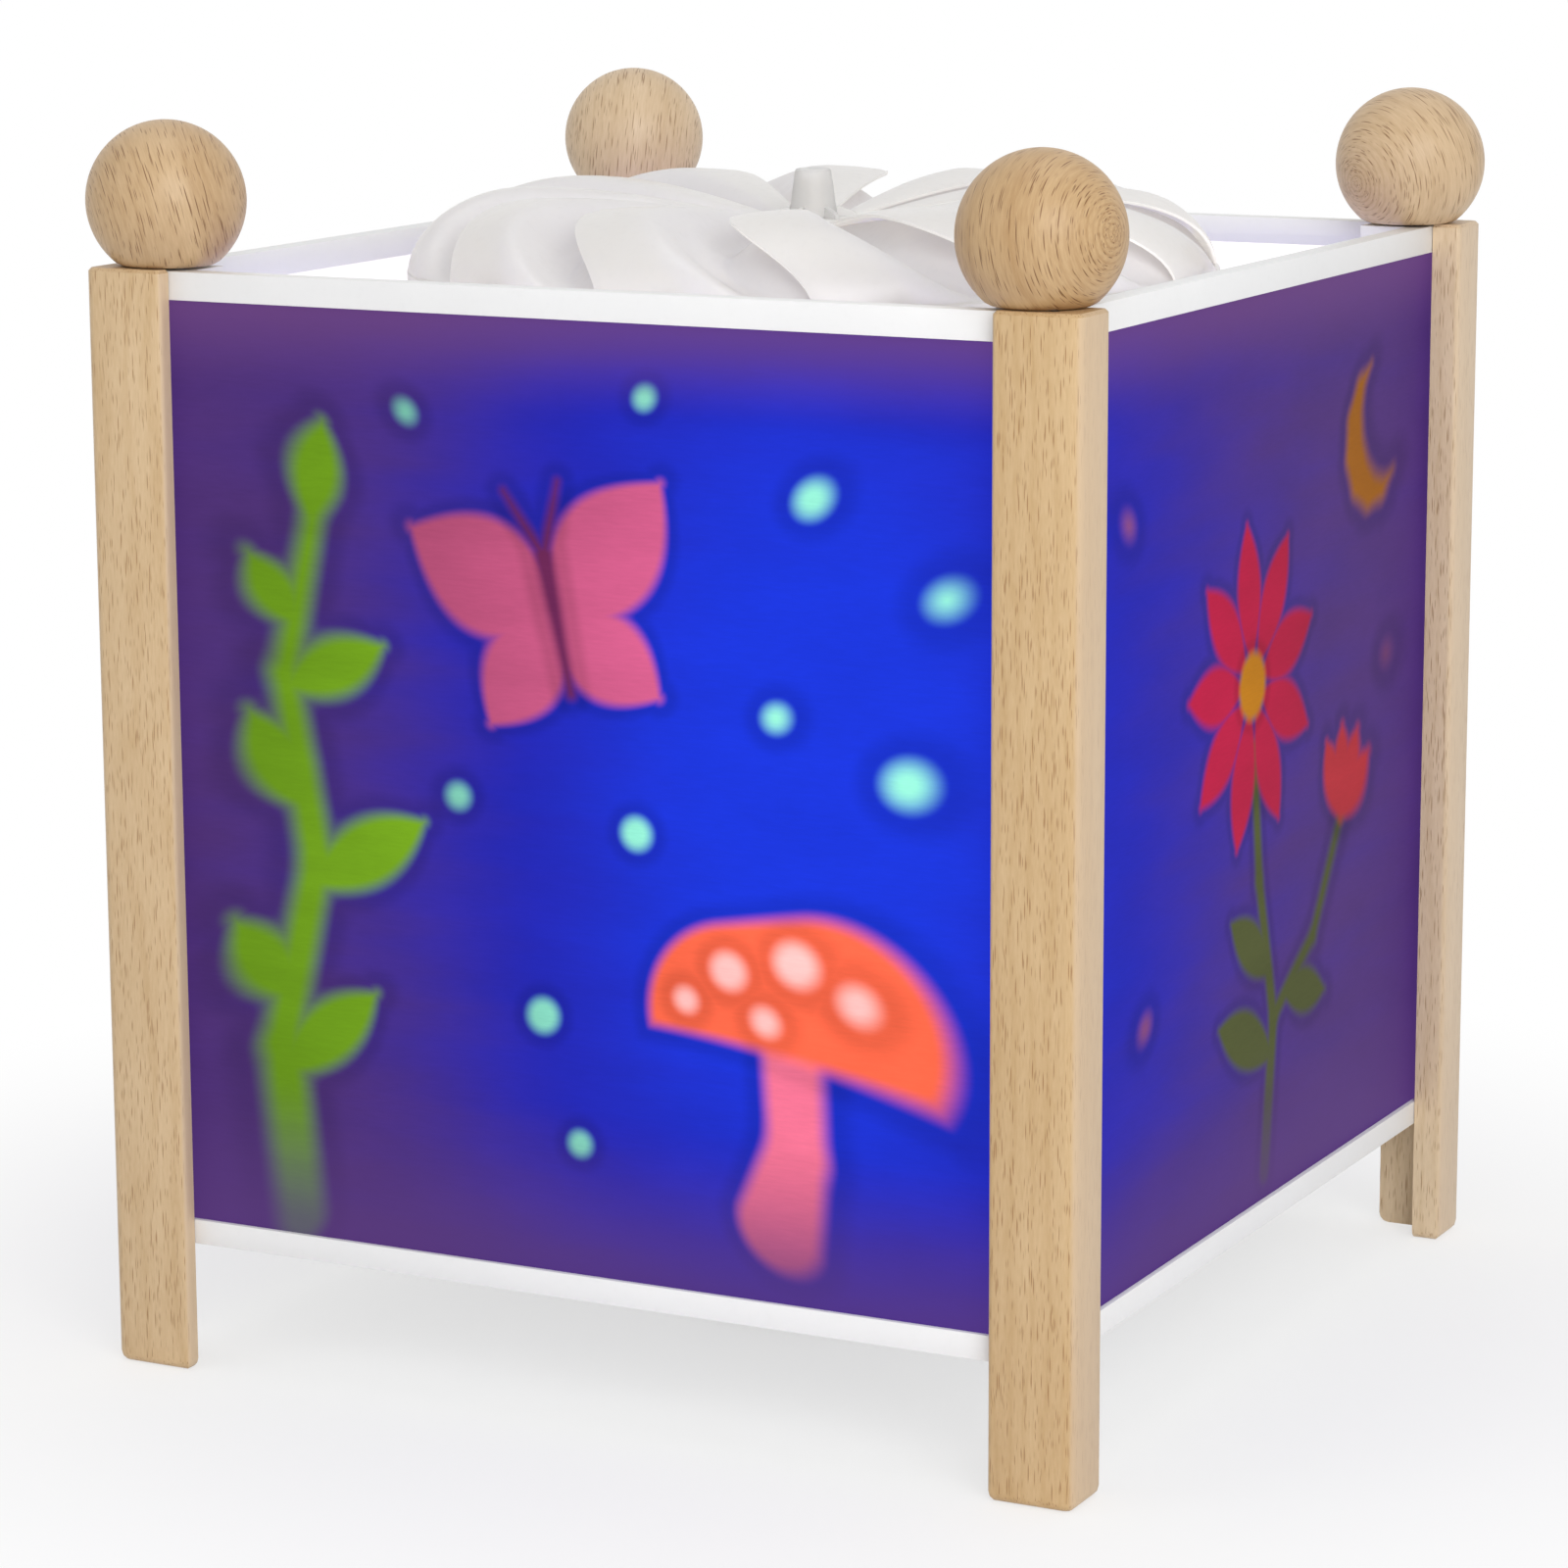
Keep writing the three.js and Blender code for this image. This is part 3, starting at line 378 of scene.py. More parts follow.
def stroke_effect() -> Effect:
    """The distance from a point to a tapered or bellied stroke, or to a disc where it has no length.

    Returns:
        The node group.
    """
    effect = Effect(
        "stroke",
        {"Place": Vector(), "Start": Vector(), "Along": Vector(), "First": 1.0, "Last": 1.0, "Belly": 0.0},
        {"Distance": "Float"},
    )
    s, given = effect.sketch, effect.given
    away = s.vector("SUBTRACT", given["Place"], given["Start"])
    length = s.vector("DOT_PRODUCT", given["Along"], given["Along"])
    share = s.over(s.vector("DOT_PRODUCT", away, given["Along"]), length, clamp=True)
    gap = s.vector("DISTANCE", away, s.scaled(given["Along"], share))
    bulge = s.minus(share, s.times(share, share))
    radius = s.plus(given["First"], s.times(bulge, s.times(given["Belly"], 4.0)))
    taper = s.times(share, s.minus(given["Last"], given["First"]))
    effect.give(Distance=s.minus(gap, s.plus(radius, taper)))
    return effect


class Wall(Enum):
    """The two walls that the picture is laid out for; it repeats on the walls behind them."""

    FRONT = -1
    RIGHT = 1


@dataclass(frozen=True)
class Stroke:
    """One stroke of a motif, in millimetres on a wall from its middle and from the floor."""

    start: tuple[float, float]
    end: tuple[float, float]
    first: float
    last: float
    belly: float = 0.0


@dataclass(frozen=True)
class Motif:
    """A shape of the picture: strokes joined softly, in one colour.

    Where cut_below is given, nothing of it shows below that point.
    """

    wall: Wall
    colour: Colour
    strokes: tuple[Stroke, ...]
    blend: float = 1.2
    cut_below: tuple[float, float] | None = None


def discs(*rows: tuple[float, float, float]) -> tuple[Stroke, ...]:
    """Round dots by place and radius, as strokes without length."""
    return tuple(Stroke((x, z), (x, z), radius, radius) for x, z, radius in rows)


def curve(points: Sequence[tuple[float, float]], widths: Sequence[float]) -> tuple[Stroke, ...]:
    """Strokes that follow a line of points, with a half width at each point."""
    pairs = zip(points, points[1:], widths, widths[1:])
    return tuple(Stroke(a, b, first, last) for a, b, first, last in pairs)


def leaf(x: float, z: float, length: float, degrees: float, belly: float) -> Stroke:
    """A pointed leaf from its foot, turned from the horizontal."""
    angle = math.radians(degrees)
    return Stroke((x, z), (x + length * math.cos(angle), z + length * math.sin(angle)), 0.9, 0.4, belly)


@dataclass(frozen=True)
class GardenPicture:
    """A night garden in plain shapes, printed on the drum and thrown on the walls.

    A wall point is joined to the film by the ray from the lamp.
    """

    film_radius: float
    film_bottom: float
    film_top: float
    wall_distance: float = 78.0
    lamp_height: float = 99.0
    # Sky colours by the painted glare of the lamp: where it is weak, middling, and strongest.
    low_glare_violet: Colour = tint(80, 50, 120)
    night: Colour = tint(35, 39, 184)
    painted_glare: Colour = tint(26, 56, 230)

    @classmethod
    def from_frame(cls) -> GardenPicture:
        """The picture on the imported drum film."""
        low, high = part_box("drum_film")
        return cls(high.x / MM, low.z / MM, high.z / MM)

    def on_film(self, wall: Wall, x: float, z: float) -> tuple[Vector, float]:
        """Where a wall point lies on the film.

        Args:
            wall: The wall.
            x: Millimetres to the right of the wall's middle.
            z: Millimetres above the floor.

        Returns:
            The point along and up the film, and how much smaller things are there.
        """
        far = math.hypot(x, self.wall_distance)
        shrink = self.film_radius / far
        along = self.film_radius * (math.atan2(x, self.wall_distance) + wall.value * math.pi / 4)
        return Vector((along, self.lamp_height + (z - self.lamp_height) * shrink, 0.0)), shrink

    def sprig(self) -> Motif:
        """Draws the tall leafy sprig on the left.

        Returns:
            The motif.
        """
        stem = [(-49.0, 27.0), (-52.0, 55.0), (-45.0, 84.0), (-50.0, 112.0), (-44.0, 138.0)]
        leaves = (
            leaf(-52, 50, 22, 40, 4.8), leaf(-50, 62, 15, 132, 4.0), leaf(-46, 80, 23, 30, 4.8),
            leaf(-47, 92, 17, 124, 4.2), leaf(-50, 110, 19, 24, 4.0), leaf(-48, 120, 13, 128, 3.4),
            leaf(-45, 136, 15, 80, 3.3),
        )
        return Motif(Wall.FRONT, tint(146, 206, 38), curve(stem, (3.4, 3.0, 2.7, 2.2, 1.6)) + leaves)

    def butterfly(self, wall: Wall, middle: tuple[float, float], size: float, lean: float) -> list[Motif]:
        """A butterfly with open wings.

        Args:
            wall: The wall that it shows on.
            middle: Its middle, to the right of the wall's middle and above the floor.
            size: Length of an upper wing.
            lean: How far it is turned, in degrees.

        Returns:
            Its wings, then its body with the feelers.
        """
        wings = [leaf(*middle, size, lean + d, size * 0.30) for d in (38, 142)]
        wings += [leaf(*middle, size * 0.74, lean + d, size * 0.22) for d in (-44, 224)]
        up = Vector((math.cos(math.radians(lean + 90)), math.sin(math.radians(lean + 90))))
        head, tail = (tuple(Vector(middle) + up * (reach * size)) for reach in (0.34, -0.42))
        feelers = [leaf(*head, size * 0.42, lean + d, 0.0) for d in (66, 114)]
        return [
            Motif(wall, tint(216, 96, 142), tuple(wings), 0.9),
            Motif(wall, tint(116, 42, 92), (Stroke(tail, head, 0.8, 1.7), *feelers), 0.4),
        ]

    def toadstool(self) -> list[Motif]:
        """Draws the spotted toadstool.

        Returns:
            Its stalk, its cap and the cap's spots.
        """
        stalk = curve([(33.0, 36.0), (36.0, 48.0), (35.0, 66.0)], (6.2, 4.2, 4.4))
        cap = (Stroke((27.0, 66.0), (41.0, 67.0), 15.0, 15.0),)
        spots = discs((25, 74, 2.6), (36, 76, 3.1), (46, 71, 2.5), (31, 67, 1.9), (18, 69, 1.7))
        return [
            Motif(Wall.FRONT, tint(246, 118, 150), stalk),
            Motif(Wall.FRONT, tint(250, 104, 72), cap, cut_below=(34.0, 62.0)),
            Motif(Wall.FRONT, tint(255, 190, 186), spots, 0.2),
        ]

    def flower(self) -> list[Motif]:
        """Draws the red flower and its bud.

        Returns:
            The green, the petals, the bud and the petals' eye.
        """
        stem = curve([(6.0, 27.0), (9.0, 52.0), (2.0, 76.0), (-1.0, 98.0)], (2.0, 1.8, 1.6, 1.4))
        bud_stem = curve([(9.0, 52.0), (26.0, 62.0), (38.0, 80.0)], (1.6, 1.4, 1.2))
        leaves = (leaf(8, 46, 24, 158, 4.2), leaf(7, 60, 20, 146, 3.6), leaf(14, 55, 18, -10, 3.4))
        x, z, reach, count = -2, 108, 5, 9
        turns = [2 * math.pi * i / count + 0.3 for i in range(count)]
        petals = [
            leaf(x + reach * math.cos(a), z + reach * math.sin(a), 21, math.degrees(a), 4.1) for a in turns
        ]
        bud = tuple(leaf(38, 80, 15, d, 3.4) for d in (35, 62, 90, 118))
        return [
            Motif(Wall.RIGHT, tint(104, 112, 62), stem + bud_stem + leaves),
            Motif(Wall.RIGHT, tint(226, 34, 84), tuple(petals), 0.3),
            Motif(Wall.RIGHT, tint(240, 66, 80), bud, 0.3),
            Motif(Wall.RIGHT, tint(232, 152, 26), discs((x, z, 5.4)), 0.2),
        ]

    def moon(self) -> Motif:
        """Draws the crescent moon.

        Returns:
            The motif.
        """
        x, z, radius, steps = 52, 143, 11, 7
        turns = [math.radians(110) + 0.5 * i for i in range(steps + 1)]
        points = [(x + radius * math.cos(a), z + radius * math.sin(a)) for a in turns]
        widths = [3.4 * math.sin(math.pi * i / steps) ** 0.8 + 0.2 for i in range(steps + 1)]
        return Motif(Wall.RIGHT, tint(214, 132, 34), curve(points, widths), 0.4)

    def motifs(self) -> list[Motif]:
        """Lays out the picture.

        Returns:
            Every shape of it, from back to front.
        """
        front_flies = discs(
            (10, 93, 2.3), (33, 112, 1.7), (54, 104, 2.9), (39, 144, 2.4), (60, 131, 1.8),
            (12, 157, 1.6), (-20, 96, 1.8), (-6, 64, 2.5), (-28, 153, 1.5), (0, 45, 1.8),
        )
        right_flies = discs((-52, 140, 1.8), (-44, 62, 2.0), (58, 104, 1.7))
        return [
            self.sprig(),
            *self.butterfly(Wall.FRONT, (-3, 124), 27, 12),
            *self.toadstool(),
            Motif(Wall.FRONT, tint(150, 240, 214), front_flies, 0.2),
            *self.flower(),
            self.moon(),
            Motif(Wall.RIGHT, tint(150, 84, 150), right_flies, 0.2),
        ]

    def effect(self, measure: Effect) -> Effect:
        """Builds the picture as a node group.

        Args:
            measure: The group that measures the distance to a stroke.

        Returns:
            The group: Place is the point along and up the film in millimetres.
        """
        effect = Effect(
            "garden_picture",
            {"Place": Vector(), "Softness": 1.0, "Glow": 0.5},
            {"Color": "Color"},
        )
        s, given = effect.sketch, effect.given
        along, up, _ = s.split(given["Place"])
        half = math.pi * self.film_radius / 2
        along = s.math("WRAP", along, half, -half)
        place = s.joined(along, up, 0.0)
        glow, soft = given["Glow"], given["Softness"]
        # Painted light: the sky turns from violet through blue to a glaring blue as the painted glare
        # grows, and the motifs brighten with it.
        colour = s.mix(s.step(glow, 0.0, 0.55), self.low_glare_violet, self.night)
        colour = s.mix(s.step(glow, 0.45, 1.0), colour, self.painted_glare)
        strength = s.line(glow, 0.8, 0.45)
        for motif in self.motifs():
            reach = None
            for stroke in motif.strokes:
                start, shrink = self.on_film(motif.wall, *stroke.start)
                end, _ = self.on_film(motif.wall, *stroke.end)
                inputs = {
                    "Place": place, "Start": start, "Along": end - start, "First": stroke.first * shrink,
                    "Last": stroke.last * shrink, "Belly": stroke.belly * shrink,
                }
                gap = measure.place(s, inputs)[0]
                reach = gap if reach is None else s.math("SMOOTH_MIN", reach, gap, motif.blend)
            if motif.cut_below:
                foot = self.on_film(motif.wall, *motif.cut_below)[0].y
                reach = s.math("SMOOTH_MAX", reach, s.minus(foot, up), 0.8)
            share = s.over(reach, soft)
            rim = s.step(s.math("ABSOLUTE", s.minus(share, 0.9)), 1.4, 0.0)
            colour = s.mix(s.times(rim, 0.3), colour, s.scaled(colour, 0.35))
            colour = s.mix(s.step(share, 0.8, -0.8), colour, s.scaled(motif.colour, strength))
        effect.give(Color=colour)
        return effect


@dataclass(frozen=True)
class Effects:
    """The node groups that the finishes share."""

    beech: Effect
    moulded: Effect
    metal: Effect
    haze: Effect
    sheet: Effect
    picture: Effect

    @classmethod
    def build(cls, picture: GardenPicture) -> Effects:
        """Builds every group once."""
        shared = (beech_effect, moulded_effect, turned_metal_effect, haze_effect, thin_sheet_effect)
        return cls(*(effect() for effect in shared), picture.effect(stroke_effect()))


def new_material(name: str) -> tuple[Material, Sketch, bpy.types.Node]:
    """A material with an empty tree but for its Principled BSDF and output.

    Args:
        name: The material's name.

    Returns:
        The material, its sketch and its Principled BSDF.
    """
    material = bpy.data.materials.new(name)
    material.use_nodes = True
    material.node_tree.nodes.clear()
    sketch = Sketch(material.node_tree)
    shader = sketch.put("ShaderNodeBsdfPrincipled")
    sketch.put("ShaderNodeOutputMaterial", {"Surface": shader.outputs[0]})
    return material, sketch, shader


def own_place(sketch: Sketch, carrier: Piece | None = None) -> Socket:
    """The point on the surface in the piece's own frame, or in the frame of a carrier."""
    return sketch.put("ShaderNodeTexCoord", object=carrier).outputs["Object"]


def fine_place(sketch: Sketch, carrier: Piece | None = None) -> Socket:
    """The point on the surface in millimetres, in the same frame."""
    return sketch.scaled(own_place(sketch, carrier), 1 / MM)


def bumped(sketch: Sketch, shader: bpy.types.Node, height: Any, depth: float, strength: float) -> None:
    """Feeds a height to a shader's normal.

    Args:
        sketch: The material's tree.
        shader: The shader.
        height: The height, about 0 to 1.
        depth: Millimetres from the lowest to the highest.
        strength: Share of the effect.
    """
    inputs = {"Height": height, "Distance": depth * MM, "Strength": strength}
    node = sketch.put("ShaderNodeBump", inputs)
    sketch.feed(shader.inputs["Normal"], node.outputs[0])


@dataclass(frozen=True)
class BeechFinish:
    """Oiled beech sawn along the piece's Z; its quarter-sawn sides are paler."""

    name: str
    light: Colour = tint(216, 186, 143)
    dark: Colour = tint(194, 159, 111)
    deep: Colour = tint(158, 113, 68)
    pale: Colour | None = tint(217, 193, 165)
    pith: tuple[float, float] = (-39.0, 24.0)
    depth: float = 0.08
    sheen: float = 0.12
    tone: float = 0.0

    def tones(self) -> dict[str, Colour]:
        """Moves the wood's colours towards paler ones by the tone.

        Returns:
            The three colours, by the input of the beech effect.
        """
        pale = {"Light": tint(236, 215, 187), "Dark": tint(212, 187, 152), "Deep": tint(160, 124, 88)}
        own = {"Light": self.light, "Dark": self.dark, "Deep": self.deep}
        return {k: tuple(a + (b - a) * self.tone for a, b in zip(own[k], pale[k])) for k in own}

    def grain(self, s: Sketch, effects: Effects) -> Any:
        """Places the beech effect for this cut of the wood.

        Args:
            s: The material's tree.
            effects: The shared node groups.

        Returns:
            The effect's outputs.
        """
        place = fine_place(s)
        x, y, _ = s.split(place)
        depth = s.vector("DISTANCE", s.joined(x, y, 0.0), (*self.pith, 0.0))
        inputs = {"Place": place, "Depth": depth, "Ring Mark": 0.22, "Fleck": 0.8}
        return effects.beech.place(s, inputs | self.tones())

    def make(self, effects: Effects) -> Material:
        """Builds the material.

        Args:
            effects: The shared node groups.

        Returns:
            The material.
        """
        material, s, shader = new_material(self.name)
        grain = self.grain(s, effects)
        colour = grain["Color"]
        if self.pale:
            side = s.split(s.put("ShaderNodeTexCoord").outputs["Normal"])[0]
            share = s.times(s.step(s.math("ABSOLUTE", side), 0.5, 0.9), 0.62)
            colour = s.mix(share, colour, self.pale)
        s.fill(shader, {"Base Color": colour, "Roughness": grain["Roughness"], "Specular IOR Level": 0.35})
        s.fill(shader, {"Coat Weight": self.sheen, "Coat Roughness": 0.32})
        bumped(s, shader, grain["Height"], self.depth, 0.5)
        return material


@dataclass(frozen=True)
class TurnedBeechFinish(BeechFinish):
    """Polished beech of a turned ball, with rings and flecks round its end grain.

    The end grain looks at eye, in degrees round and up. The seam of the grain is turned to away, in
    degrees round, which also picks the stretch of the log. The run is millimetres of grain to a radian.
    """

    light: Colour = tint(207, 175, 132)
    dark: Colour = tint(170, 132, 86)
    deep: Colour = tint(122, 82, 44)
    pale: Colour | None = None
    sheen: float = 0.22
    eye: tuple[float, float] = (80.0, 4.0)
    away: float = 200.0
    run: float = 9.0

    def grain(self, s: Sketch, effects: Effects) -> Any:
        """Places the beech effect round the ball's end grain.

        Args:
            s: The material's tree.
            effects: The shared node groups.

        Returns:
            The effect's outputs.
        """
        axis = toward(*self.eye)
        near = -toward(self.away, 0.0)
        near = (near - axis * near.dot(axis)).normalized()
        place = fine_place(s)
        x, y, z = (s.vector("DOT_PRODUCT", place, v) for v in (near, axis.cross(near), axis))
        depth = s.vector("LENGTH", s.joined(x, y, 0.0))
        round_it = s.times(s.math("ARCTAN2", y, x), self.run)
        place = s.joined(depth, s.plus(z, self.away), round_it)
        mark = s.line(s.step(depth, 8.0, 1.5), 0.3, 0.16)
        inputs = {"Place": place, "Depth": depth, "Ring": 0.95, "Ring Mark": mark, "Fleck": 0.95}
        return effects.beech.place(s, inputs | self.tones())


@dataclass(frozen=True)
class CornerWood:
    """The wood at one corner: where its ball's end grain looks, how it is turned, and how pale it is."""

    corner: str
    eye: tuple[float, float]
    away: float
    ball_tone: float
    post_tone: float

    def make(self, effects: Effects) -> dict[str, Material]:
        """Builds the corner's two materials.

        Args:
            effects: The shared node groups.

        Returns:
            The ball's material by its own name, and the post's by its node.
        """
        ball_name, post_name = f"beech_ball_{self.corner}", f"post_{self.corner}"
        ball = TurnedBeechFinish(ball_name, eye=self.eye, away=self.away, tone=self.ball_tone)
        post = BeechFinish(f"beech_{post_name}", tone=self.post_tone)
        return {ball_name: ball.make(effects), post_name: post.make(effects)}


@dataclass(frozen=True)
class MouldedFinish:
    """A moulded or sprayed plastic."""

    name: str
    body: Colour
    gloss: float
    unevenness: float = 1.0
    depth: float = 0.01

    def make(self, effects: Effects) -> Material:
        """Builds the material.

        Args:
            effects: The shared node groups.

        Returns:
            The material.
        """
        material, s, shader = new_material(self.name)
        inputs = {"Place": fine_place(s), "Body": self.body, "Gloss": self.gloss}
        skin = effects.moulded.place(s, inputs | {"Unevenness": self.unevenness})
        s.fill(shader, {"Base Color": skin["Color"], "Roughness": skin["Roughness"]})
        bumped(s, shader, skin["Height"], self.depth, 0.4)
        return material


@dataclass(frozen=True)
class MetalFinish:
    """A plain metal with fine turning marks."""

    name: str
    body: Colour
    rough: float
    depth: float = 0.01

    def make(self, effects: Effects) -> Material:
        """Builds the material.

        Args:
            effects: The shared node groups.

        Returns:
            The material.
        """
        material, s, shader = new_material(self.name)
        skin = effects.metal.place(s, {"Place": fine_place(s), "Body": self.body, "Rough": self.rough})
        s.fill(shader, {"Base Color": skin["Color"], "Roughness": skin["Roughness"], "Metallic": 1.0})
        bumped(s, shader, skin["Height"], self.depth, 0.3)
        return material


@dataclass(frozen=True)
class ClearFinish:
    """Clear glass or plastic."""

    name: str
    body: Colour
    rough: float
    index: float
    clear: float

    def make(self, effects: Effects) -> Material:
        """Builds the material.

        Args:
            effects: The shared node groups.

        Returns:
            The material.
        """
        material, s, shader = new_material(self.name)
        skin = effects.haze.place(s, {"Place": fine_place(s), "Body": self.body, "Rough": self.rough})
        s.fill(shader, {"Base Color": skin["Color"], "Roughness": skin["Roughness"]})
        s.fill(shader, {"Transmission Weight": self.clear, "IOR": self.index})
        return material


@dataclass(frozen=True)
class WireGlowFinish:
    """A wire that glows, hottest in its middle."""

    name: str
    hot: Colour
    cool: Colour
    middle: float
    strength: float
    cool_drop: float = 12.0
    hot_drop: float = 4.0

    def make(self, effects: Effects) -> Material:
        """Builds the material.

        Args:
            effects: The shared node groups; not used.

        Returns:
            The material.
        """
        material, s, shader = new_material(self.name)
        _, _, z = s.split(fine_place(s))
        heat = s.step(z, self.middle - self.cool_drop, self.middle - self.hot_drop)
        colour = s.mix(heat, self.cool, self.hot)
        s.fill(shader, {"Base Color": colour, "Roughness": 0.5})
        s.fill(shader, {"Emission Color": colour, "Emission Strength": self.strength})
        return material


@dataclass(frozen=True)
class PetalFinish:
    """Thin milky plastic with the lamp's light from below painted as emission."""

    name: str
    body: Colour
    # Strengths of the painted lamp light: on every face, and added on the faces that look down at the bulb.
    glow: float
    under_glow: float = 0.3
    gloss: float = 0.34
    unevenness: float = 0.5
    milk: float = 0.6
    milk_reach: tuple[float, float, float] = (4.0, 3.8, 3.5)
    depth: float = 0.6

    def make(self, effects: Effects) -> Material:
        """Builds the material.

        Args:
            effects: The shared node groups.

        Returns:
            The material.
        """
        material, s, shader = new_material(self.name)
        inputs = {"Place": fine_place(s), "Body": self.body, "Gloss": self.gloss}
        skin = effects.moulded.place(s, inputs | {"Unevenness": self.unevenness})
        s.fill(shader, {"Base Color": skin["Color"], "Roughness": skin["Roughness"]})
        flow = s.noise(fine_place(s), 0.11, 3.0)
        # Painted lamp light: stronger on the faces that look down, and uneven with the plastic's flow.
        down = s.times(s.split(s.put("ShaderNodeTexCoord").outputs["Normal"])[2], -1.0)
        lit = s.line(s.step(down, -0.2, 0.5), self.under_glow, self.glow)
        lit = s.times(lit, s.line(flow, 0.6, 0.7))
        s.fill(shader, {"Emission Color": s.scaled(skin["Color"], lit), "Emission Strength": 1.0})
        s.fill(shader, {"Subsurface Weight": self.milk, "Subsurface Radius": self.milk_reach})
        s.fill(shader, {"Subsurface Scale": MM})
        bumped(s, shader, flow, self.depth, 0.35)
        return material


@dataclass(frozen=True)
class PictureFinish:
    """The printed film, or a wall that the film's picture is thrown on."""

    name: str
    picture: GardenPicture
    thrown: bool
    # Painted lamp light: the light from the bulb inside through the sheet is painted as emission, not cast
    # by a lamp; these shares set it and the sheet's own colour.
    lit_share: float = 0.78
    own_share: float = 0.17
    inside_lit: float = 0.1
    inside_own: float = 0.64
    blur: float = 0.55
    blur_growth: float = 0.04
    print_glow: float = 0.6
    # Where the painted hot spot lies and how far it reaches; its turn points it at the camera's side.
    glow_degrees: float = -63.0
    glow_height: float = 100.0
    glow_half_width: float = 54.0
    glow_half_height: float = 80.0
    inside: Colour = (0.92, 0.90, 0.86)
    inside_share: float = 0.88
    rough: float = 0.65
    top_shade: Colour = tint(112, 72, 132)
    top_levels: tuple[float, float] = (154.0, 171.0)
    top_share: float = 0.85
    foot_shade: Colour = tint(92, 60, 126)
    foot_levels: tuple[float, float] = (50.0, 22.0)
    foot_share: float = 0.75
    bare_light: Colour = tint(250, 238, 214)
    bare_blur: float = 1.5
    depth: float = 0.02

    def film_place(self, s: Sketch, carrier: Piece) -> tuple[Any, Any, Any]:
        """Where a surface point lies on the film.

        Args:
            s: The material's tree.
            carrier: The node whose frame the picture stays in.

        Returns:
            The place along and up the film, its height, and the point's distance from the axis.
        """
        x, y, z = s.split(fine_place(s, carrier))
        turned_x = s.times(s.minus(x, y), math.sqrt(0.5))
        turned_y = s.times(s.plus(x, y), math.sqrt(0.5))
        along = s.times(s.math("ARCTAN2", turned_y, turned_x), self.picture.film_radius)
        far = s.vector("LENGTH", s.joined(x, y, 0.0))
        if self.thrown:
            lamp = self.picture.lamp_height
            shrink = s.over(self.picture.film_radius, far)
            z = s.line(s.minus(z, lamp), shrink, lamp)
        return s.joined(along, z, 0.0), z, far

    def glow(self, s: Sketch) -> Socket:
        """Paints the lamp's glare on a wall: a hot spot round the upright plane through the lamp and the
        camera, with soft streaks.

        Args:
            s: The material's tree.

        Returns:
            The painted glare from 0 to 1.
        """
        x, y, z = s.split(fine_place(s))
        turn = math.radians(self.glow_degrees)
        across = s.plus(s.times(x, -math.sin(turn)), s.times(y, math.cos(turn)))
        drift = s.noise(s.joined(s.plus(x, y), 0.0, s.times(z, 6.0)), 0.02, 2.0)
        aside = s.math("POWER", s.math("ABSOLUTE", s.over(across, self.glow_half_width)), 2.0)
        level = s.minus(z, self.glow_height)
        over = s.math("POWER", s.math("ABSOLUTE", s.over(level, self.glow_half_height)), 3.0)
        core = s.math("EXPONENT", s.times(s.plus(aside, over), -1.0))
        return s.plus(core, s.line(drift, 0.24, -0.12), clamp=True)

    def make(self, effects: Effects, carrier: Piece) -> Material:
        """Builds the material.

        Args:
            effects: The shared groups.
            carrier: The node whose frame the picture stays in.

        Returns:
            The material.
        """
        material, s, shader = new_material(self.name)
        place, height, far = self.film_place(s, carrier)
        inputs = {"Place": place, "Softness": self.blur, "Glow": self.print_glow}
        if self.thrown:
            inputs["Softness"] = s.line(s.minus(far, self.picture.film_radius), self.blur_growth, self.blur)
            inputs["Glow"] = self.glow(s)
        sheet = effects.sheet.place(s, {"Place": fine_place(s)})
        colour = s.scaled(effects.picture.place(s, inputs)["Color"], sheet["Tone"])
        if self.thrown:
            colour = self.past_the_film(s, colour, height)
        inner = self.faces_in(s)
        lining = s.mix(self.inside_share, colour, s.scaled(self.inside, sheet["Tone"]))
        shown = s.mix(inner, colour, lining)
        own = s.scaled(shown, s.line(inner, self.inside_own, self.own_share))
        # Painted lamp light as emission: full on the outer faces, weak on the faces that look in.
        lit = s.scaled(shown, s.line(inner, self.inside_lit, 1.0))
        s.fill(shader, {"Base Color": own, "Roughness": self.rough})
        s.fill(shader, {"Emission Color": lit, "Emission Strength": self.lit_share})
        s.fill(shader, {"Specular IOR Level": 0.06})
        bumped(s, shader, sheet["Height"], self.depth, 0.25)
        return material

    def faces_in(self, s: Sketch) -> Socket:
        """Finds the sides that face the lamp.

        Args:
            s: The material's tree.

        Returns:
            1 where the surface faces the lamp, else 0.
        """
        outputs = s.put("ShaderNodeTexCoord").outputs
        sideways = s.stretched(outputs["Object"], (1.0, 1.0, 0.0))
        return s.math("LESS_THAN", s.vector("DOT_PRODUCT", outputs["Normal"], sideways), 0.0)

    def past_the_film(self, s: Sketch, colour: Any, height: Any) -> Socket:
        """Adds the tinges at the wall's head and foot, and the bare lamp's light past the film's ends.

        Args:
            s: The material's tree.
            colour: The picture's colour.
            height: The ray's height on the film.

        Returns:
            The changed colour.
        """
        bottom, top, blur = self.picture.film_bottom, self.picture.film_top, self.bare_blur
        low = s.step(height, bottom + blur, bottom - blur)
        high = s.step(height, top - blur, top + blur)
        level = s.split(fine_place(s))[2]
        top_tinge = s.times(s.step(level, *self.top_levels), self.top_share)
        foot_tinge = s.times(s.step(level, *self.foot_levels), self.foot_share)
        colour = s.mix(foot_tinge, s.mix(top_tinge, colour, self.top_shade), self.foot_shade)
        return s.mix(s.math("MAXIMUM", low, high), colour, self.bare_light)


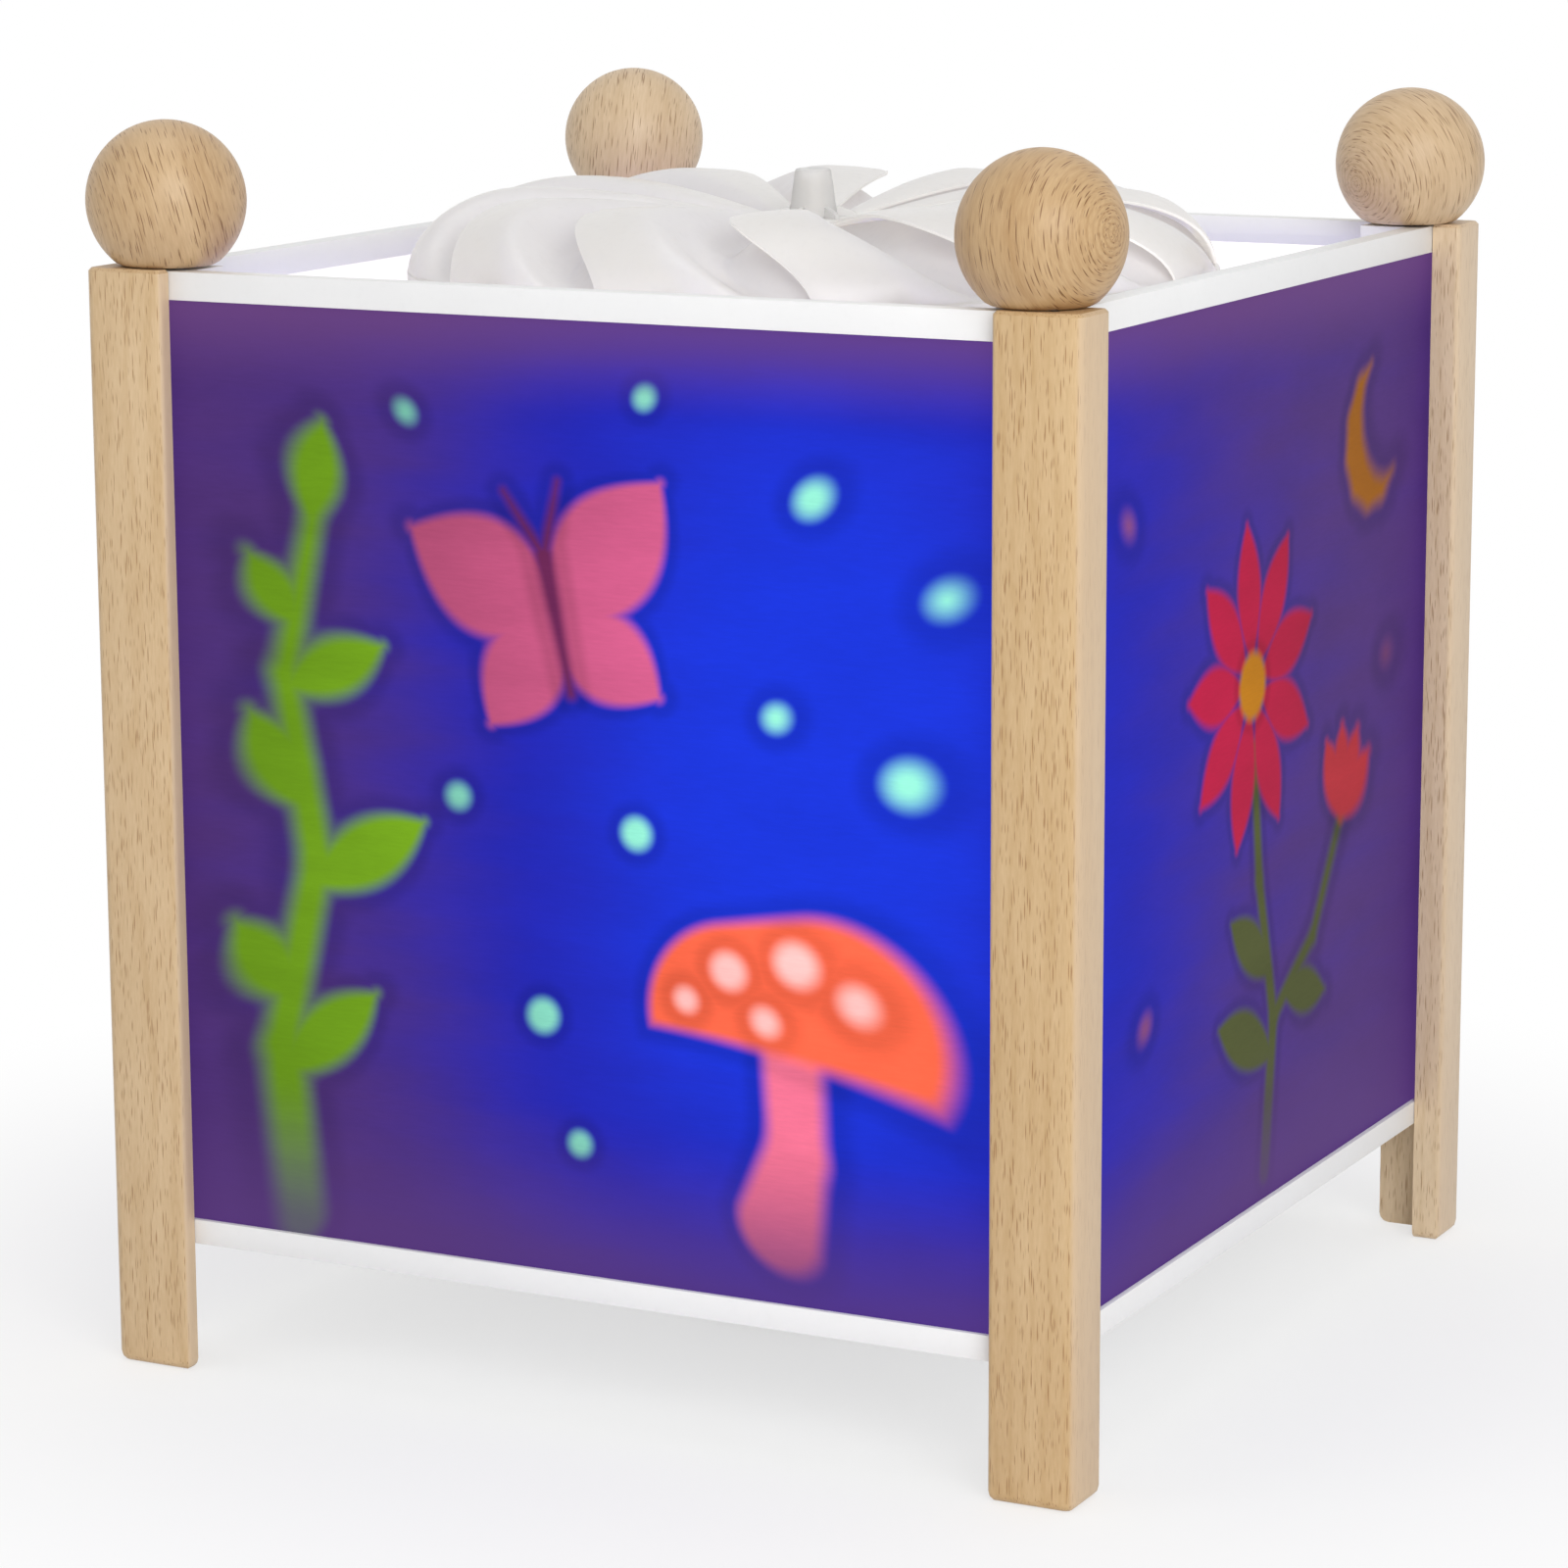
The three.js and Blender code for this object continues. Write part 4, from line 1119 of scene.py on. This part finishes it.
class Finishes:
    """Every material of the lantern, by the name of its slot, or of the one piece that wears it."""

    def __init__(self, effects: Effects, picture: GardenPicture, carrier: Piece) -> None:
        """Builds the materials.

        Args:
            effects: The shared node groups.
            picture: The picture on the film and the walls.
            carrier: The node whose frame the picture stays in.
        """
        plain = (
            MouldedFinish("white_lacquer", (0.90, 0.90, 0.90), 0.42, 0.3),
            PetalFinish("frosted_plastic", (0.76, 0.735, 0.71), 0.05),
            ClearFinish("hub_plastic", (0.92, 0.91, 0.90), 0.4, 1.35, 0.4),
            MouldedFinish("hoop_plastic", (0.82, 0.82, 0.81), 0.35, 0.6),
            MouldedFinish("bakelite", (0.80, 0.78, 0.73), 0.3),
            MouldedFinish("black_plastic", (0.03, 0.028, 0.026), 0.42),
            MetalFinish("brass", (0.78, 0.58, 0.26), 0.28),
            MetalFinish("steel", (0.62, 0.63, 0.65), 0.3),
            MetalFinish("nickel", (0.72, 0.70, 0.66), 0.2),
            ClearFinish("bulb_glass", (1.0, 0.985, 0.95), 0.01, 1.45, 1.0),
            WireGlowFinish("tungsten", (1.0, 0.72, 0.36), (0.5, 0.4, 0.3), 100.0, 6.0),
        )
        woods = (
            CornerWood("front_right", (80.0, 4.0), 200.0, 0.0, 0.0),
            CornerWood("front_left", (128.0, 14.0), 209.0, 0.15, 0.25),
            CornerWood("back_right", (-28.0, -14.0), 218.0, 0.4, 0.8),
            CornerWood("back_left", (-63.0, 6.0), 227.0, 0.6, 0.4),
        )
        pictures = (
            PictureFinish("printed_panel", picture, True),
            PictureFinish("printed_film", picture, False, 0.2, 0.8, blur=0.35, inside_share=0.5, rough=0.4),
        )
        self.by_slot = {finish.name: finish.make(effects) for finish in plain}
        for wood in woods:
            self.by_slot |= wood.make(effects)
        self.by_slot |= {finish.name: finish.make(effects, carrier) for finish in pictures}

    def dress(self, piece: Piece, slot: str) -> None:
        """Gives a piece one material throughout."""
        piece.data.materials.clear()
        piece.data.materials.append(self.by_slot[slot])


@dataclass(frozen=True)
class EdgeCare:
    """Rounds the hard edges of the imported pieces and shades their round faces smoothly."""

    weld_reach: float = 0.002
    flat_degrees: float = 1.0
    bevel_degrees: float = 35.0
    bevel_steps: int = 2
    sharp_degrees: float = 38.0

    def shading(self) -> bpy.types.NodeTree:
        """Builds the shading group.

        Returns:
            The group, which keeps edges sharp that turn more than the sharp degrees.
        """
        tree = bpy.data.node_groups.new("smooth_round_faces", "GeometryNodeTree")
        for way in ("INPUT", "OUTPUT"):
            tree.interface.new_socket("Geometry", in_out=way, socket_type="NodeSocketGeometry")
        s = Sketch(tree)
        start, end = s.put("NodeGroupInput"), s.put("NodeGroupOutput")
        faces = s.put("GeometryNodeSetShadeSmooth", {"Geometry": start.outputs[0]}, domain="FACE")
        angle = s.put("GeometryNodeInputMeshEdgeAngle").outputs[0]
        sharp = s.put("FunctionNodeCompare", {0: angle, 1: math.radians(self.sharp_degrees)})
        edges = s.put(
            "GeometryNodeSetShadeSmooth",
            {"Geometry": faces.outputs[0], "Selection": sharp.outputs[0], "Shade Smooth": False},
            domain="EDGE",
        )
        s.feed(end.inputs[0], edges.outputs[0])
        return tree

    def apply(self, piece: Piece, radius: float, shading: bpy.types.NodeTree) -> None:
        """Adds the modifiers.

        Args:
            piece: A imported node's object.
            radius: Millimetres of rounding, or 0 for none.
            shading: The shading group.
        """
        weld = piece.modifiers.new("weld", "WELD")
        weld.merge_threshold = self.weld_reach * MM
        if radius:
            flat = piece.modifiers.new("flat_faces", "DECIMATE")
            flat.decimate_type, flat.angle_limit = "DISSOLVE", math.radians(self.flat_degrees)
            bevel = piece.modifiers.new("soft_edges", "BEVEL")
            bevel.width, bevel.segments = radius * MM, self.bevel_steps
            bevel.limit_method, bevel.angle_limit = "ANGLE", math.radians(self.bevel_degrees)
        smooth = piece.modifiers.new("smooth", "NODES")
        smooth.node_group = shading


def mesh_piece(
    name: str, points: Iterable[Sequence[float]], faces: Iterable[Sequence[int]], sharp: float = 35.0
) -> Piece:
    """A new object from points in millimetres.

    Args:
        name: Its name.
        points: The vertices.
        faces: The faces, by vertex number.
        sharp: Edges that turn more than these degrees stay sharp.

    Returns:
        The object, in the scene.
    """
    mesh = bpy.data.meshes.new(name)
    mesh.from_pydata([tuple(c * MM for c in p) for p in points], [], [tuple(f) for f in faces])
    work = bmesh.new()
    work.from_mesh(mesh)
    bmesh.ops.remove_doubles(work, verts=work.verts, dist=0.0005 * MM)
    bmesh.ops.recalc_face_normals(work, faces=work.faces)
    work.to_mesh(mesh)
    work.free()
    mesh.polygons.foreach_set("use_smooth", [True] * len(mesh.polygons))
    mesh.set_sharp_from_angle(angle=math.radians(sharp))
    piece = bpy.data.objects.new(name, mesh)
    bpy.context.scene.collection.objects.link(piece)
    return piece


def lathe(profile: Profile, count: int) -> Shape:
    """Turns a closed profile of radius and height about Z.

    Args:
        profile: The profile's points; the last joins the first.
        count: Number of sides.

    Returns:
        The points and the faces.
    """
    points, faces, size = [], [], len(profile)
    for i in range(count):
        turn = 2 * math.pi * i / count
        points += [(r * math.cos(turn), r * math.sin(turn), z) for r, z in profile]
    for i in range(count):
        near, far = i * size, (i + 1) % count * size
        for j in range(size):
            k = (j + 1) % size
            if profile[j][0] or profile[k][0]:
                faces.append((near + j, far + j, far + k, near + k))
    return points, faces


def prism(outline: Profile, half_width: float) -> Shape:
    """Gives an outline of radius and height a thickness across the radius.

    Args:
        outline: The outline's points; the last joins the first.
        half_width: Millimetres to each side.

    Returns:
        The points and the faces.
    """
    size = len(outline)
    points = [Vector((r, side, z)) for side in (-half_width, half_width) for r, z in outline]
    faces = [tuple(range(size)), tuple(reversed(range(size, 2 * size)))]
    faces += [(k, size + k, size + (k + 1) % size, (k + 1) % size) for k in range(size)]
    return points, faces


def spun(shape: Shape, count: int, start: float = 0.0) -> list[Shape]:
    """Copies of a shape at even turns about Z; the start is a share of one turn."""
    turns = (Matrix.Rotation(2 * math.pi * (i + start) / count, 3, "Z") for i in range(count))
    return [([turn @ point for point in shape[0]], shape[1]) for turn in turns]


def together(shapes: Iterable[Shape]) -> Shape:
    """Joins shapes into one.

    Args:
        shapes: The shapes; the faces of each count its own points.

    Returns:
        The points and the faces of all of them.
    """
    points, faces = [], []
    for own_points, own_faces in shapes:
        faces += [tuple(len(points) + i for i in face) for face in own_faces]
        points += own_points
    return points, faces


def eased(profile: Profile, radius: float, steps: int = 3) -> list[tuple[float, float]]:
    """Rounds the corners of a closed profile, but for those on the axis.

    Args:
        profile: The profile's corners.
        radius: Millimetres of rounding.
        steps: Points in each round, less one.

    Returns:
        The finer profile.
    """
    result: list[tuple[float, float]] = []
    for i, corner in enumerate(profile):
        here = Vector(corner)
        back, on = Vector(profile[i - 1]) - here, Vector(profile[(i + 1) % len(profile)]) - here
        if not corner[0] or radius <= 0:
            result.append(corner)
            continue
        reach = min(radius, back.length * 0.45, on.length * 0.45)
        first, last = here + back.normalized() * reach, here + on.normalized() * reach
        for k in range(steps + 1):
            t = k / steps
            point = first * (1 - t) ** 2 + here * (2 * t * (1 - t)) + last * t**2
            result.append((max(point.x, 0.0), point.y))
    return result


@dataclass(frozen=True)
class CornerBalls:
    """The four turned balls, each with its grain lying its own way."""

    radius: float = 12.2
    centre_above_seat: float = 9.8
    seat_ease: float = 0.6
    count: int = 64
    rings: int = 36
    sharp_degrees: float = 60.0
    corners: tuple[str, ...] = ("front_left", "front_right", "back_right", "back_left")

    def profile(self) -> list[tuple[float, float]]:
        """Draws the ball's outline from its flat seat to its top.

        Returns:
            The outline's points of radius and height.
        """
        low = -math.asin(self.centre_above_seat / self.radius)
        seat = math.sqrt(self.radius**2 - self.centre_above_seat**2)
        ease = self.seat_ease
        points = [(0.0, 0.0), (seat - ease, 0.0), (seat - ease / 4, ease / 5)]
        for i in range(1, self.rings + 1):
            a = low + i / self.rings * (math.pi / 2 - low)
            radius = self.radius * math.cos(a) if i < self.rings else 0.0
            points.append((radius, self.centre_above_seat + self.radius * math.sin(a)))
        return points

    def build(self, finishes: Finishes) -> list[Piece]:
        """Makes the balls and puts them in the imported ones' places.

        Args:
            finishes: The materials.

        Returns:
            The balls.
        """
        made = []
        shape = lathe(self.profile(), self.count)
        rise = self.centre_above_seat * MM
        for corner in self.corners:
            ball = mesh_piece(f"ball_{corner}", *shape, self.sharp_degrees)
            ball.data.transform(Matrix.Translation((0.0, 0.0, -rise)))
            low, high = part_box(f"finial_{corner}")
            ball.location = ((low.x + high.x) / 2, (low.y + high.y) / 2, low.z + rise)
            bpy.context.view_layer.update()
            finishes.dress(ball, f"beech_ball_{corner}")
            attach(ball, "lantern")
            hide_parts(f"finial_{corner}")
            made.append(ball)
        return made


@dataclass(frozen=True)
class Turbine:
    """The petal turbine that hangs over the drum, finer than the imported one, with deeper valleys.

    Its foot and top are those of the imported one. The rises and drops are measured from the petals' roots
    at the hub, but for the shoulder's, which is measured from the rim's top.
    """

    foot: float
    top: float
    petals: int = 12
    first_degrees: float = 10.4
    rim_radius: float = 64.4
    skirt_wall: float = 0.9
    skirt_height: float = 11.0
    shoulder_drop: float = 1.2
    root_radius: float = 6.0
    crest_radius: float = 46.0
    edge_rise: float = 3.4
    crest_rise: float = 4.2
    valley_drop: float = 3.2
    crest_share: float = 0.45
    tuck: float = 0.75
    wall: float = 0.8
    edge_share: float = 0.55
    overlap_degrees: float = 14.0
    sweep_start: float = 42.0
    sweep_degrees: float = 17.0
    rim_turn_degrees: float = 90.0
    rows: int = 32
    columns: int = 24
    collar_radius: float = 8.0
    collar_thickness: float = 2.4
    cap_foot: float = 3.9
    cap_top: float = 2.8
    cap_height: float = 7.6
    bore_radius: float = 2.3
    crown: float = 1.4
    nose: float = 3.0
    cap_gap: float = 0.02
    rib_count: int = 6
    rib_half_width: float = 0.35
    rib_foot: float = 3.4
    rib_reach: float = 6.9
    rib_height: float = 1.8
    rim_sides: int = 144
    hub_sides: int = 48
    rim_round: float = 0.3
    collar_round: float = 0.35
    cap_round: float = 0.5
    sharp_degrees: float = 50.0

    @classmethod
    def from_frame(cls) -> Turbine:
        """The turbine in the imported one's place."""
        low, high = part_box("turbine")
        return cls(low.z / MM, high.z / MM)

    @property
    def rim_top(self) -> float:
        """Height of the rim's upper edge."""
        return self.foot + self.skirt_height

    @property
    def root_height(self) -> float:
        """Height of the petals' roots, which the hub's cap stands on."""
        return self.top - self.cap_height

    @property
    def pitch(self) -> float:
        """Degrees from one petal to the next."""
        return 360 / self.petals

    @property
    def width(self) -> float:
        """Degrees that one petal covers, with what lies under the next one."""
        return self.pitch + self.overlap_degrees

    def section(self, across: float) -> tuple[float, float]:
        """Cuts a petal across: up to its crest, down into the valley, then tucked up under the next petal.

        Args:
            across: From the leading edge, 0, to the trailing edge, 1.

        Returns:
            How deep in the valley the point is, from 0 to 1, and its height in millimetres.
        """
        turned = across * self.width
        share = min(1.0, turned / self.pitch)
        rise = math.sin(math.pi / 2 * min(1.0, share / self.crest_share))
        fall = 0.5 - 0.5 * math.cos(math.pi * max(0.0, (share - self.crest_share) / (1 - self.crest_share)))
        tucked = max(0.0, turned - self.pitch) / self.overlap_degrees
        valley = fall * (1 - self.tuck * math.sin(math.pi / 2 * tucked))
        crest = self.edge_rise + (self.crest_rise - self.edge_rise) * rise
        return valley, self.root_height + crest - (crest + self.valley_drop) * valley

    def middle(self, along: float, across: float) -> Vector:
        """Finds a point of the first petal's middle surface, which turns down to the rim in its outer half.

        Args:
            along: From the hub, 0, to the rim, 1.
            across: From the leading edge, 0, to the trailing edge, 1.

        Returns:
            The point in millimetres.
        """
        reach = self.rim_radius - self.skirt_wall / 2 - self.crest_radius
        bend = math.radians(self.rim_turn_degrees) * max(0.0, 2 * along - 1)
        inner = min(1.0, 2 * along)
        radius = self.root_radius + (self.crest_radius - self.root_radius) * inner + reach * math.sin(bend)
        valley, summit = self.section(across)
        root = self.root_height - self.collar_thickness / 2 * (1 + across / 2)
        crest = root + (summit - root) * math.sin(inner * math.pi / 2)
        fall = (1 - valley) * math.cos(bend) + valley * (1 - math.sin(bend))
        shoulder = self.rim_top - self.shoulder_drop
        height = shoulder + (crest - shoulder) * fall
        sweep = max(0.0, radius - self.sweep_start) / (self.rim_radius - self.sweep_start)
        turn = math.radians(self.first_degrees + across * self.width + self.sweep_degrees * sweep**2)
        return Vector((radius * math.cos(turn), radius * math.sin(turn), height))

    def normal(self, along: float, across: float) -> Vector:
        """Finds the direction square to the petal.

        Args:
            along: From the hub, 0, to the rim, 1.
            across: From the leading edge, 0, to the trailing edge, 1.

        Returns:
            The direction, one long.
        """
        step = 1e-3
        down = self.middle(min(1, along + step), across) - self.middle(max(0, along - step), across)
        over = self.middle(along, min(1, across + step)) - self.middle(along, max(0, across - step))
        return down.cross(over).normalized()

    def petal(self) -> Shape:
        """Makes the first petal as a closed thin sheet.

        Returns:
            The points and the faces.
        """
        points, faces = [], []
        for side in (0.5, -0.5):
            for i in range(self.rows + 1):
                for j in range(self.columns + 1):
                    u, v = i / self.rows, j / self.columns
                    thin = self.edge_share if j in (0, self.columns) else 1.0
                    points.append(self.middle(u, v) + self.normal(u, v) * (side * self.wall * thin))
        width = self.columns + 1
        sheet = width * (self.rows + 1)
        for i in range(self.rows):
            for j in range(self.columns):
                a = i * width + j
                faces.append((a, a + width, a + width + 1, a + 1))
                faces.append((sheet + a, sheet + a + 1, sheet + a + width + 1, sheet + a + width))
            a, b = i * width, i * width + self.columns
            faces.append((a, sheet + a, sheet + a + width, a + width))
            faces.append((b, b + width, sheet + b + width, sheet + b))
        for j in range(self.columns):
            a, b = j, self.rows * width + j
            faces.append((a, a + 1, sheet + a + 1, sheet + a))
            faces.append((b, sheet + b, sheet + b + 1, b + 1))
        return points, faces

    def rotor(self) -> Piece:
        """Makes petals, rim and collar in one piece.

        Returns:
            The piece.
        """
        inner, outer = self.rim_radius - self.skirt_wall, self.rim_radius
        rim = [(inner, self.foot), (outer, self.foot), (outer, self.rim_top), (inner, self.rim_top)]
        under = self.root_height - self.collar_thickness
        collar = [
            (self.bore_radius, under - self.nose), (self.cap_foot, under - self.nose),
            (self.cap_foot, under), (self.collar_radius, under),
            (self.collar_radius, self.root_height), (self.bore_radius, self.root_height),
        ]
        shapes = spun(self.petal(), self.petals)
        shapes.append(lathe(eased(rim, self.rim_round), self.rim_sides))
        shapes.append(lathe(eased(collar, self.collar_round), self.hub_sides))
        return mesh_piece("petal_turbine", *together(shapes), self.sharp_degrees)

    def cap(self) -> Piece:
        """Makes the hub's clear cap over the bearing cup, with small ribs at its foot.

        Returns:
            The piece.
        """
        foot, top = self.root_height + self.cap_gap, self.top
        profile = [
            (self.bore_radius, foot), (self.cap_foot, foot), (self.cap_top, top),
            (0.0, top), (0.0, top - self.crown), (self.bore_radius, top - self.crown),
        ]
        inner, outer, height = self.rib_foot, self.rib_reach, self.rib_height
        rib = [
            (inner, foot), (outer, foot), (outer - 0.2, foot + 0.7),
            (inner + 0.8, foot + height - 0.2), (inner - 0.2, foot + height),
        ]
        body = lathe(eased(profile, self.cap_round, 4), self.hub_sides)
        ribs = spun(prism(rib, self.rib_half_width), self.rib_count, 0.5)
        return mesh_piece("hub_cap", *together([body, *ribs]))

    def build(self, finishes: Finishes) -> list[Piece]:
        """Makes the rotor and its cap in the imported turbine's place.

        Args:
            finishes: The materials.

        Returns:
            The two pieces.
        """
        made = []
        for piece, slot in ((self.rotor(), "frosted_plastic"), (self.cap(), "hub_plastic")):
            finishes.dress(piece, slot)
            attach(piece, "carousel")
            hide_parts("turbine")
            made.append(piece)
        return made


@dataclass(frozen=True)
class PackedPieces:
    """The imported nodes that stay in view: each gets its finish and edges rounded by its slot."""

    frame: dict[str, Any]
    rounding: tuple[tuple[str, float], ...] = (
        ("white_lacquer", 0.35), ("bakelite", 0.4), ("steel", 0.2), ("brass", 0.12),
        ("hoop_plastic", 0.2), ("printed_panel", 0.15),
    )

    def dress(self, finishes: Finishes, rebuilt: set[str]) -> list[Piece]:
        """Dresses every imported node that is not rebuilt.

        Args:
            finishes: The materials.
            rebuilt: Nodes that finer pieces stand for.

        Returns:
            The dressed objects.
        """
        nodes, rounding, edges = self.frame["nodes"], dict(self.rounding), EdgeCare()
        slots = {row["node"]: row["material_slot"] for row in self.frame["record"]["subparts"]}
        shading = edges.shading()
        shown = [name for name in sorted(nodes) if name not in rebuilt]
        for name in shown:
            finishes.dress(nodes[name], name if name in finishes.by_slot else slots[name])
            edges.apply(nodes[name], rounding.get(slots[name], 0.0), shading)
        return [nodes[name] for name in shown]


@dataclass(frozen=True)
class SoftLamp:
    """A soft square lamp; its place and side are in metres."""

    name: str
    place: tuple[float, float, float]
    side: float
    watts: float


@dataclass(frozen=True)
class Studio:
    """The camera, the soft lights and the pale floor, in metres but for the camera's own sizes."""

    azimuth: float = 27.04
    elevation: float = 11.27
    roll: float = -0.24
    place: tuple[float, float, float] = (361.69, -719.66, 245.96)
    focal_pixels: float = 5170.3
    picture_pixels: float = 1600.0
    sensor: float = 36.0
    view_span: tuple[float, float] = (0.05, 20.0)
    sky: float = 0.45
    floor_white: float = 0.95
    floor_half_side: float = 3.0
    floor_drop: float = 0.00002
    fade_start: float = 0.08
    fade_end: float = 0.24
    fade_least: float = 0.6
    aim: tuple[float, float, float] = (0.0, 0.0, 0.1)
    lamps: tuple[SoftLamp, ...] = (
        SoftLamp("key", (0.82, -0.90, 0.62), 0.8, 9.0),
        SoftLamp("left", (-0.75, -0.95, 0.75), 0.6, 1.2),
        SoftLamp("top", (0.0, 0.1, 1.5), 1.0, 3.2),
    )

    def camera(self) -> None:
        """Sets the camera where the photograph was taken from."""
        data = bpy.data.cameras.new("camera")
        data.sensor_width = self.sensor
        data.lens = self.sensor * self.focal_pixels / self.picture_pixels
        data.clip_start, data.clip_end = self.view_span
        camera = bpy.data.objects.new("camera", data)
        back = toward(self.azimuth, self.elevation)
        right = (-back).cross(Vector((0, 0, 1))).normalized()
        up = right.cross(-back)
        turn = math.radians(self.roll)
        right, up = (
            right * math.cos(turn) + up * math.sin(turn),
            up * math.cos(turn) - right * math.sin(turn),
        )
        columns = (right, up, back, Vector(self.place) * MM)
        camera.matrix_world = Matrix([[c[i] for c in columns] for i in range(3)] + [[0, 0, 0, 1]])
        bpy.context.scene.collection.objects.link(camera)
        bpy.context.scene.camera = camera

    def light(self, lamp: SoftLamp) -> None:
        """Adds a lamp that points at the lantern's middle.

        Args:
            lamp: The lamp.
        """
        data = bpy.data.lights.new(lamp.name, "AREA")
        data.size, data.energy = lamp.side, lamp.watts
        piece = bpy.data.objects.new(lamp.name, data)
        turn = (Vector(self.aim) - Vector(lamp.place)).to_track_quat("-Z", "Y").to_matrix().to_4x4()
        piece.matrix_world = Matrix.Translation(lamp.place) @ turn
        bpy.context.scene.collection.objects.link(piece)

    def background(self, s: Sketch) -> Socket:
        """Finds the rays that should see plain white: from the camera, off gloss or through glass.

        Args:
            s: The tree that it goes into.

        Returns:
            1 for such rays, else 0.
        """
        path = s.put("ShaderNodeLightPath").outputs
        seen = s.math("MAXIMUM", path["Is Camera Ray"], path["Is Glossy Ray"])
        return s.math("MAXIMUM", seen, path["Is Transmission Ray"])

    def world(self) -> None:
        """Even light from all round, seen as white."""
        world = bpy.data.worlds.new("studio")
        world.use_nodes = True
        world.node_tree.nodes.clear()
        s = Sketch(world.node_tree)
        strength = s.put("ShaderNodeMapRange", {0: self.background(s), 3: self.sky, 4: 1.0}).outputs[0]
        shader = s.put("ShaderNodeBackground", {"Color": (1.0, 1.0, 1.0), "Strength": strength})
        s.put("ShaderNodeOutputWorld", {"Surface": shader.outputs[0]})
        bpy.context.scene.world = world

    def floor(self) -> None:
        """A pale floor that fades to the white background away from the lantern."""
        side = self.floor_half_side / MM
        corners = [(-side, -side, 0), (side, -side, 0), (side, side, 0), (-side, side, 0)]
        floor = mesh_piece("floor", corners, [(0, 1, 2, 3)])
        floor.location.z = -self.floor_drop
        material, s, shader = new_material("floor")
        place = own_place(s)
        away = s.vector("LENGTH", place)
        speck = s.noise(place, 90.0, 3.0)
        tone = s.line(speck, 0.02, 0.99)
        s.fill(shader, {"Base Color": s.scaled((self.floor_white,) * 3, tone)})
        s.fill(shader, {"Roughness": 0.8, "Specular IOR Level": 0.1})
        white = s.put("ShaderNodeEmission", {"Color": (1.0, 1.0, 1.0), "Strength": 1.0})
        far = s.step(away, self.fade_start, self.fade_end)
        fade = s.line(far, 1.0 - self.fade_least, self.fade_least)
        share = s.times(self.background(s), fade)
        mixed = s.put("ShaderNodeMixShader", {0: share, 1: shader.outputs[0], 2: white.outputs[0]})
        output = next(n for n in s.tree.nodes if n.type == "OUTPUT_MATERIAL")
        s.feed(output.inputs["Surface"], mixed.outputs[0])
        floor.data.materials.append(material)

    def build(self) -> None:
        """Sets up the whole studio."""
        self.camera()
        self.world()
        for lamp in self.lamps:
            self.light(lamp)
        self.floor()
        bpy.context.scene.view_settings.view_transform = "Standard"


def report(pieces: Iterable[Piece]) -> None:
    """Logs each piece with its size in millimetres.

    Args:
        pieces: The pieces.
    """
    for piece in pieces:
        size = ", ".join(f"{side / MM:.1f}" for side in piece.dimensions)
        LOG.info("%s: %s mm", piece.name, size)


def main() -> None:
    """Builds the lantern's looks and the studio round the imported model."""
    logging.basicConfig(level=logging.INFO, format="%(message)s")
    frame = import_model()
    picture = GardenPicture.from_frame()
    finishes = Finishes(Effects.build(picture), picture, frame["nodes"]["drum_film"])
    balls, turbine = CornerBalls(), Turbine.from_frame()
    report(balls.build(finishes))
    report(turbine.build(finishes))
    rebuilt = {"turbine", *(f"finial_{corner}" for corner in balls.corners)}
    report(PackedPieces(frame).dress(finishes, rebuilt))
    Studio().build()


if __name__ == "__main__":
    main()
